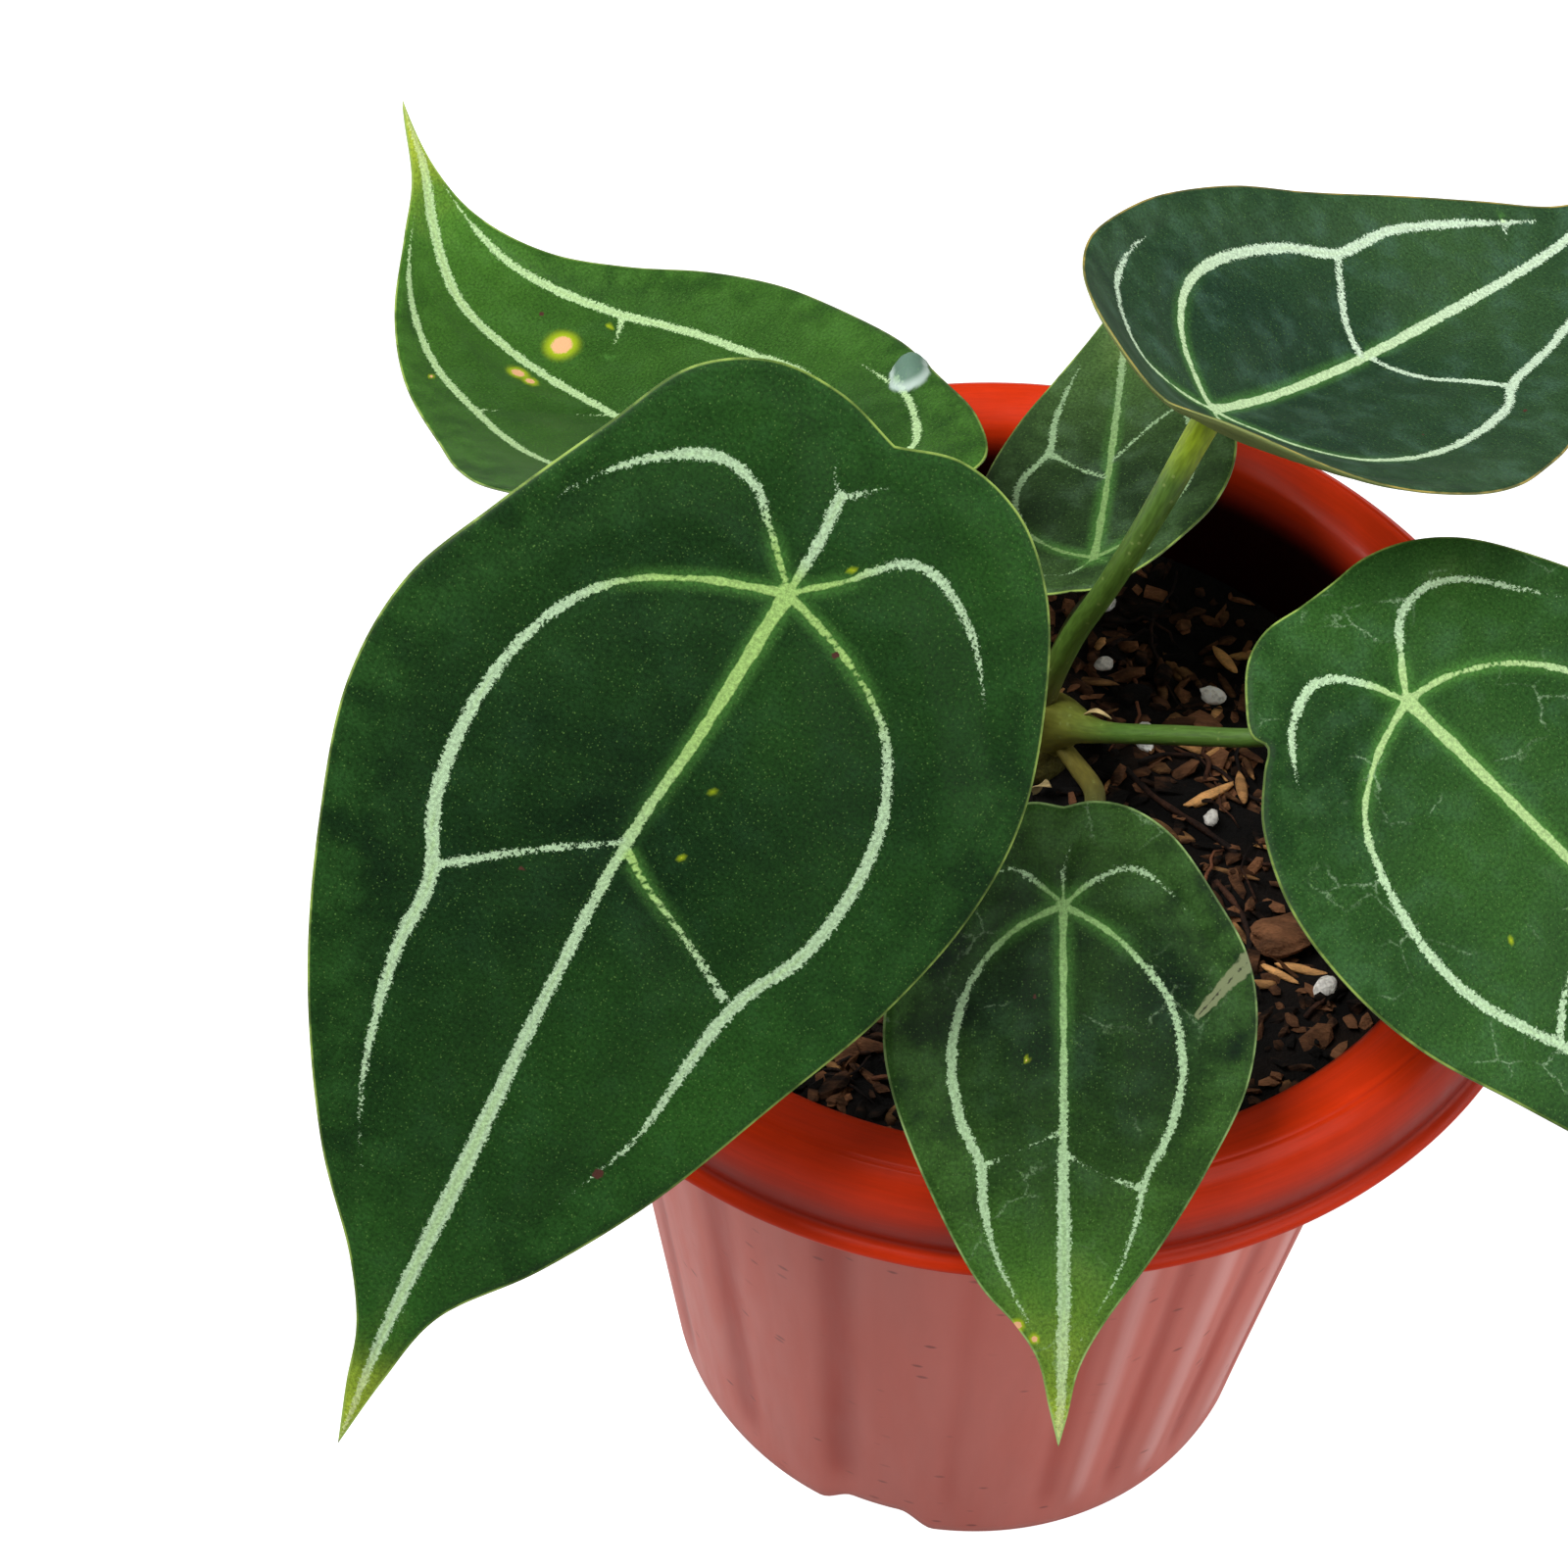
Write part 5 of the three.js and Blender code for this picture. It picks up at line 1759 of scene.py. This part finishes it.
    def fibre_nest(self) -> Surface:
        """Thin dark roots and fibres, each a short bent rod lying on the bed.

        Returns:
            All of them as one surface.
        """
        rng = np.random.default_rng(31)
        nest = None
        wave = np.linspace(0, pi, self.fibre_steps)
        taper = np.linspace(1, 0.5, self.fibre_steps)
        for _ in range(self.fibres):
            reach = np.sqrt(rng.uniform()) * (self.radius - 9)
            turn, head = rng.uniform(0, 2 * pi, 2)
            bends = rng.normal(0, self.fibre_turn, self.fibre_steps - 1)
            steps = np.cumsum(np.concatenate([[head], bends]))
            stride = rng.uniform(*self.fibre_strides)
            x = reach * cos(turn) + np.cumsum(np.cos(steps)) * stride
            y = reach * sin(turn) + np.cumsum(np.sin(steps)) * stride
            out = np.hypot(x, y) > self.radius - 2
            near = np.hypot(x - self.stem_at[0], y - self.stem_at[1]) < self.stem_radius + 1
            if out.any() or near.any():
                continue
            z = self.height(x, y) + 0.5 + 1.1 * np.abs(np.sin(wave * rng.integers(1, 3)))
            thick = rng.uniform(*self.fibre_radii)
            rod = swept(np.stack([x, y, z], axis=1), thick * taper, 5)
            rod.marks = {"kind": np.full(len(rod.points), rng.uniform())}
            nest = rod if nest is None else nest.joined(rod)
        return nest

    def build(self, effects: Effects) -> list[Thing]:
        """Makes the bed and everything loose on it.

        Args:
            effects: The shared node groups.
        Returns:
            The pieces.
        """
        earth = EarthFinish("mix_earth", tone(6, 4, 3), tone(34, 23, 16), patch_scale=220.0,
                            relief=0.0012).make(effects)
        bark = EarthFinish("mix_bark", tone(10, 6, 4), tone(146, 98, 66), fibre=2.5,
                           relief=0.0009).make(effects)
        husk = EarthFinish("mix_husk", tone(70, 42, 22), tone(240, 178, 112), 0.8, 120.0, 1800.0,
                           3.0, 0.0004).make(effects)
        root = EarthFinish("mix_root", tone(20, 12, 9), tone(132, 82, 56), 0.75).make(effects)
        stone = EarthFinish("mix_stone", tone(242, 238, 230), tone(255, 254, 250), 0.95, 300.0,
                            1500.0, 1.0, 0.0008).make(effects)
        boxy = icosahedron()
        boxy.points = boxed(boxy.points, 0.6)
        sliver = round_lump(6, 6)
        sliver.points = sliver.points[:, [2, 0, 1]]
        made = [
            self.bed().build("mix_bed", earth),
            self.pieces(21, self.grains, (0.6, 0.3, 0.25), (2.9, 1.1, 0.7), boxy, 0.6, 0.35)
            .build("mix_grains", bark, False),
            self.pieces(22, self.chips, (1.4, 0.8, 0.4), (3.8, 2.2, 1.1), boxy, 0.6, 0.35, 0.1)
            .build("mix_chips", bark, False),
            self.pieces(23, self.slivers, (1.4, 0.3, 0.25), (5.2, 1.1, 0.7), sliver, 0.45, 0.16,
                        0.0).build("mix_husks", husk),
            self.pieces(24, self.lumps, (0.8, 0.7, 0.6), (1.9, 1.4, 1.2), round_lump(6, 9), 0.6,
                        0.14, 0.0).build("mix_lumps", stone),
            self.fibre_nest().build("mix_fibres", root),
        ]
        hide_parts("potting_mix")
        return made + self.placed(stone, bark, husk, root)

    def placed(self, stone: Finish, bark: Finish,
               husk: Finish, root: Finish) -> list[Thing]:
        """The larger loose pieces, each in the box of the CAD node that it stands for.

        Args:
            stone, bark, husk, root: Their materials.
        Returns:
            The pieces, in the order of their nodes' names.
        """
        made = []
        looks = {"perlite": (stone, 0.16), "bark": (bark, 0.22), "husk": (husk, 0.06),
                 "twig": (root, 0.0)}
        for node in sorted(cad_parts):
            family = node.rsplit("_", 1)[0]
            if family not in looks:
                continue
            finish, wear = looks[family]
            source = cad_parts[node].data
            corners = np.empty(len(source.vertices) * 3)
            source.vertices.foreach_get("co", corners)
            corners = corners.reshape(-1, 3) / MM
            shape = self._like(corners, wear, family, len(made))
            piece = shape.build(f"loose_{node}", finish, family != "bark")
            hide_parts(node)
            made.append(piece)
        return made

    def _like(self, corners: Array, wear: float, family: str, seed: int) -> Surface:
        """A worn lump or rod along the main direction of a plain solid's corners.

        The direction is the solid's own longest spread, found from its corners' covariance.

        Args:
            corners: The solid's corners, one per row.
            wear: How uneven the lump is, as a share of its size.
            family: The family of pieces that it belongs to.
            seed: Which noise shapes it.
        Returns:
            The closed surface, about as large as the solid.
        """
        centre = (corners.min(axis=0) + corners.max(axis=0)) / 2
        flat = corners[:, :2] - corners[:, :2].mean(axis=0)
        head = np.linalg.eigh(flat.T @ flat)[1][:, 1]
        if family == "twig":
            return self._rod(corners, head)
        across = np.array([-head[1], head[0]])
        reach = [np.abs(flat @ head).max(), np.abs(flat @ across).max(),
                 np.ptp(corners[:, 2]) / 2]
        ball = round_lump(14, 22)
        points = boxed(ball.points, 0.75 if family == "bark" else 1.0)
        if family == "husk":
            x, y, z = ball.points.T
            taper = 1 - 0.55 * np.abs(z) ** 3
            points = np.stack([z, x * taper, y * taper], axis=1)
        noise = Grain(40 + seed).at(points, 0.55)
        points = points * (1 - wear * 0.6 + wear * noise)[:, None] * reach
        axes = np.array([(*head, 0.0), (*across, 0.0), (0.0, 0.0, 1.0)])
        return Surface(points @ axes + centre, ball.quads, ball.tris,
                       {"kind": np.full(len(points), (seed * 0.38) % 1)}).outward()

    def _rod(self, corners: Array, head: Array) -> Surface:
        """A thin rod through the middles of slices of the solid, taken along its direction.

        Args:
            corners: The solid's corners, one per row.
            head: Its level direction.
        Returns:
            The closed surface.
        """
        place = corners[:, :2] @ head
        slots = np.linspace(place.min(), place.max(), 9)
        weight = np.exp(-((place[None] - slots[:, None]) / (np.ptp(place) / 12)) ** 2)
        middles = (weight @ corners) / weight.sum(axis=1, keepdims=True)
        path = evenly(spline(middles), np.linspace(0, 1, 40))
        rod = swept(path, 0.45 + 0.06 * np.sin(np.linspace(0, 25, 40)), 8)
        rod.marks = {"kind": np.full(len(rod.points), 0.4)}
        return rod


@dataclass
class Crown:
    """The short stem that the stalks grow from, with the dry sheaths around it."""

    at: Point2 = (3.0, 16.0)
    radius: float = 5.6
    bottom: float = 109.0
    top: float = 127.4
    steps: int = 40
    scale_thickness: float = 0.22

    def stem(self) -> Surface:
        """The stem: a knobbly rod that narrows above the place where the stalks leave it.

        Returns:
            The closed surface.
        """
        place = np.linspace(0, 1, self.steps)
        foot = np.array([*self.at, self.bottom])
        path = foot + np.outer(place, (0.0, 0.0, self.top - self.bottom))
        radii = self.radius * (0.86 + 0.04 * np.sin(place * 22) - 0.35 * smooth(0.93, 1.0, place))
        made = swept(path, radii, self.steps)
        push = made.points - np.array([self.at[0], self.at[1], 0.0])
        push[:, 2] = 0
        made.points = made.points + push * (0.12 * Grain(17).at(made.points, 3.0))[:, None]
        made.marks["kind"] = np.full(len(made.points), 0.5)
        return made

    def sheath(self, start: Point3, end: Point3, width: float, curl: float) -> Surface:
        """A dry pointed scale: a thin curved blade from start to end.

        Its half width falls from width to nothing as one minus the square of the place along it,
        and across it is bent along a parabola by the curl.

        Args:
            start, end: Its foot and its point.
            width: Its half width at the foot.
            curl: How far its edges rise, as a share of the width.
        Returns:
            The closed surface.
        """
        place = np.linspace(0.02, 0.98, 24)
        along = np.subtract(end, start)
        side = np.cross(along, (0.0, 0.0, 1.0))
        side = side / np.linalg.norm(side)
        face = np.cross(side, along / np.linalg.norm(along))
        angle = np.linspace(0, 2 * pi, 16, endpoint=False)
        half = width * (1 - place ** 2)
        across, thick = half[:, None] * np.cos(angle), self.scale_thickness * np.sin(angle)[None]
        bend = curl * across ** 2 / width
        path = np.asarray(start) + place[:, None] * along + np.outer(
            np.sin(place * pi) * 0.8, face)
        rings = (path[:, None] + across[..., None] * side
                 + (thick + bend)[..., None] * face)
        made = skin(rings, np.array([start]), np.array([end]))
        made.marks["kind"] = np.full(len(made.points), 0.7)
        return made

    def build(self, effects: Effects) -> list[Thing]:
        """Makes the stem and its sheaths.

        Args:
            effects: The shared node groups.
        Returns:
            The pieces.
        """
        bark = EarthFinish("stem_skin", tone(64, 60, 22), tone(112, 108, 48), 0.7, 200.0, 1600.0,
                           1.0, 0.0005).make(effects)
        dry = EarthFinish("dry_sheath", tone(150, 122, 78), tone(214, 194, 140), 0.7, 180.0,
                          1500.0, 2.0, 0.0003).make(effects)
        stem = self.stem().build("stem_crown", bark)
        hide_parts("stem")
        scales = [
            self.sheath((9.3, 10.6, 137.0), (12.8, 7.7, 139.8), 0.6, 0.25)
            .build("sheath_right", dry),
            self.sheath((3.5, 9.0, 120), (5.5, 6.8, 124.5), 1.6, 0.4).build("sheath_curled", dry),
            self.sheath((-1.5, 13.0, 121), (-3.5, 10.5, 129), 2.2, 0.25)
            .build("sheath_left", dry),
        ]
        return [stem, *scales]


@dataclass
class Studio:
    """A pale floor and soft lights."""

    floor_size: float = 6.0
    floor_glow: float = 0.22
    floor_seen: float = 0.8
    key_power: float = 29.0
    fill_power: float = 7.0
    left_power: float = 4.0
    right_power: float = 13.0
    sky: float = 0.16

    def floor(self) -> Thing:
        """A wide pale floor under the pot, brighter to the camera than to the pot.

        Returns:
            The floor, as a stage piece.
        """
        half = self.floor_size / 2 / MM
        corners = np.array([(-half, -half, 0.0), (half, -half, 0.0), (half, half, 0.0),
                            (-half, half, 0.0)])
        material, w, shader = plain_material("studio_floor")
        patch = w.noise(w.place(), 2.0)
        seen = w.add("LightPath").outputs["Is Camera Ray"]
        w.feed(shader, Base_Color=w.mix(patch, tone(150, 150, 150), tone(146, 146, 146)),
               Emission_Color=w.mix(patch, tone(255, 255, 255), tone(252, 252, 252)),
               Emission_Strength=w.math("MULTIPLY_ADD", seen, self.floor_seen, self.floor_glow),
               Roughness=0.6)
        made = Surface(corners, np.array([[0, 1, 2, 3]]), np.empty((0, 3), int))
        floor = made.build("studio_floor", material, False)
        return floor

    def lamp(self, name: str, place: Point3, aim: Point3, size: float, power: float) -> None:
        """A square soft light.

        Args:
            name: Its name.
            place: Where it is, in metres.
            aim: The place that it faces, in metres.
            size: Its side, in metres.
            power: Its power, in watts.
        """
        data = bpy.data.lights.new(name, "AREA")
        data.shape, data.size, data.energy = "SQUARE", size, power
        lamp = bpy.data.objects.new(name, data)
        facing = Vector(aim) - Vector(place)
        lamp.location = place
        lamp.rotation_euler = facing.to_track_quat("-Z", "Y").to_euler()
        bpy.context.scene.collection.objects.link(lamp)

    def build(self) -> None:
        """Sets the floor, the sky and the lights."""
        self.floor()
        scene = bpy.context.scene
        scene.world = scene.world or bpy.data.worlds.new("studio_sky")
        scene.world.use_nodes = True
        w = Wiring(scene.world.node_tree)
        seen = w.add("LightPath").outputs["Is Camera Ray"]
        w.feed(w.tree.nodes["Background"], Color=(1.0, 1.0, 1.0, 1.0),
               Strength=w.math("MAXIMUM", seen, self.sky))
        for name, place, aim, size, power in (
                ("key_light", (-0.7, -0.1, 1.5), 0.12, 0.9, self.key_power),
                ("fill_light", (0.9, -0.9, 1.1), 0.12, 1.1, self.fill_power),
                ("right_light", (1.3, 0.25, 0.45), 0.07, 1.3, self.right_power),
                ("left_light", (-1.3, 0.35, 0.5), 0.08, 1.0, self.left_power)):
            self.lamp(name, place, (0.0, 0.0, aim), size, power)
        scene.view_settings.view_transform = "Standard"
        scene.view_settings.look = "None"


@dataclass
class PhotoCamera:
    """A camera that stands where the photograph was taken from."""

    place: Point3 = (0.0, -0.31943, 0.52178)
    heading: float = 5.81
    tilt: float = 39.12
    roll: float = 1.62
    focal_pixels: float = 3632.5
    frame_pixels: float = 1600.0
    sensor: float = 36.0

    def build(self) -> Thing:
        """Makes the camera the scene's own.

        The lens is the sensor's width times the focal length in pixels over the frame's width.

        Returns:
            The camera.
        """
        data = bpy.data.cameras.new("photo_camera")
        data.sensor_width = self.sensor
        data.sensor_fit = "HORIZONTAL"
        data.lens = self.sensor * self.focal_pixels / self.frame_pixels
        data.clip_start, data.clip_end = 0.02, 20.0
        camera = bpy.data.objects.new("photo_camera", data)
        turn = (Matrix.Rotation(radians(self.heading), 4, "Z")
                @ Matrix.Rotation(radians(self.tilt), 4, "X")
                @ Matrix.Rotation(radians(self.roll), 4, "Z"))
        camera.matrix_world = Matrix.Translation(Vector(self.place)) @ turn
        bpy.context.scene.collection.objects.link(camera)
        bpy.context.scene.camera = camera
        return camera


def main() -> None:
    """Builds the studio, the pot, the mix and the plant, and reports each piece."""
    logging.basicConfig(level=logging.INFO, format="%(name)s: %(message)s")
    PhotoCamera().build()
    Studio().build()
    effects = Effects()
    leaves = (leaf_front_left, leaf_back_left, leaf_back_right, leaf_right, leaf_front, leaf_back)
    parts = [Pot(), Mix(), Crown(), *(leaf() for leaf in leaves)]
    for part in parts:
        for piece in part.build(effects):
            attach(piece, BODY)
            report.info("%s: %d faces", piece.name, len(piece.data.polygons))


if __name__ == "__main__":
    main()
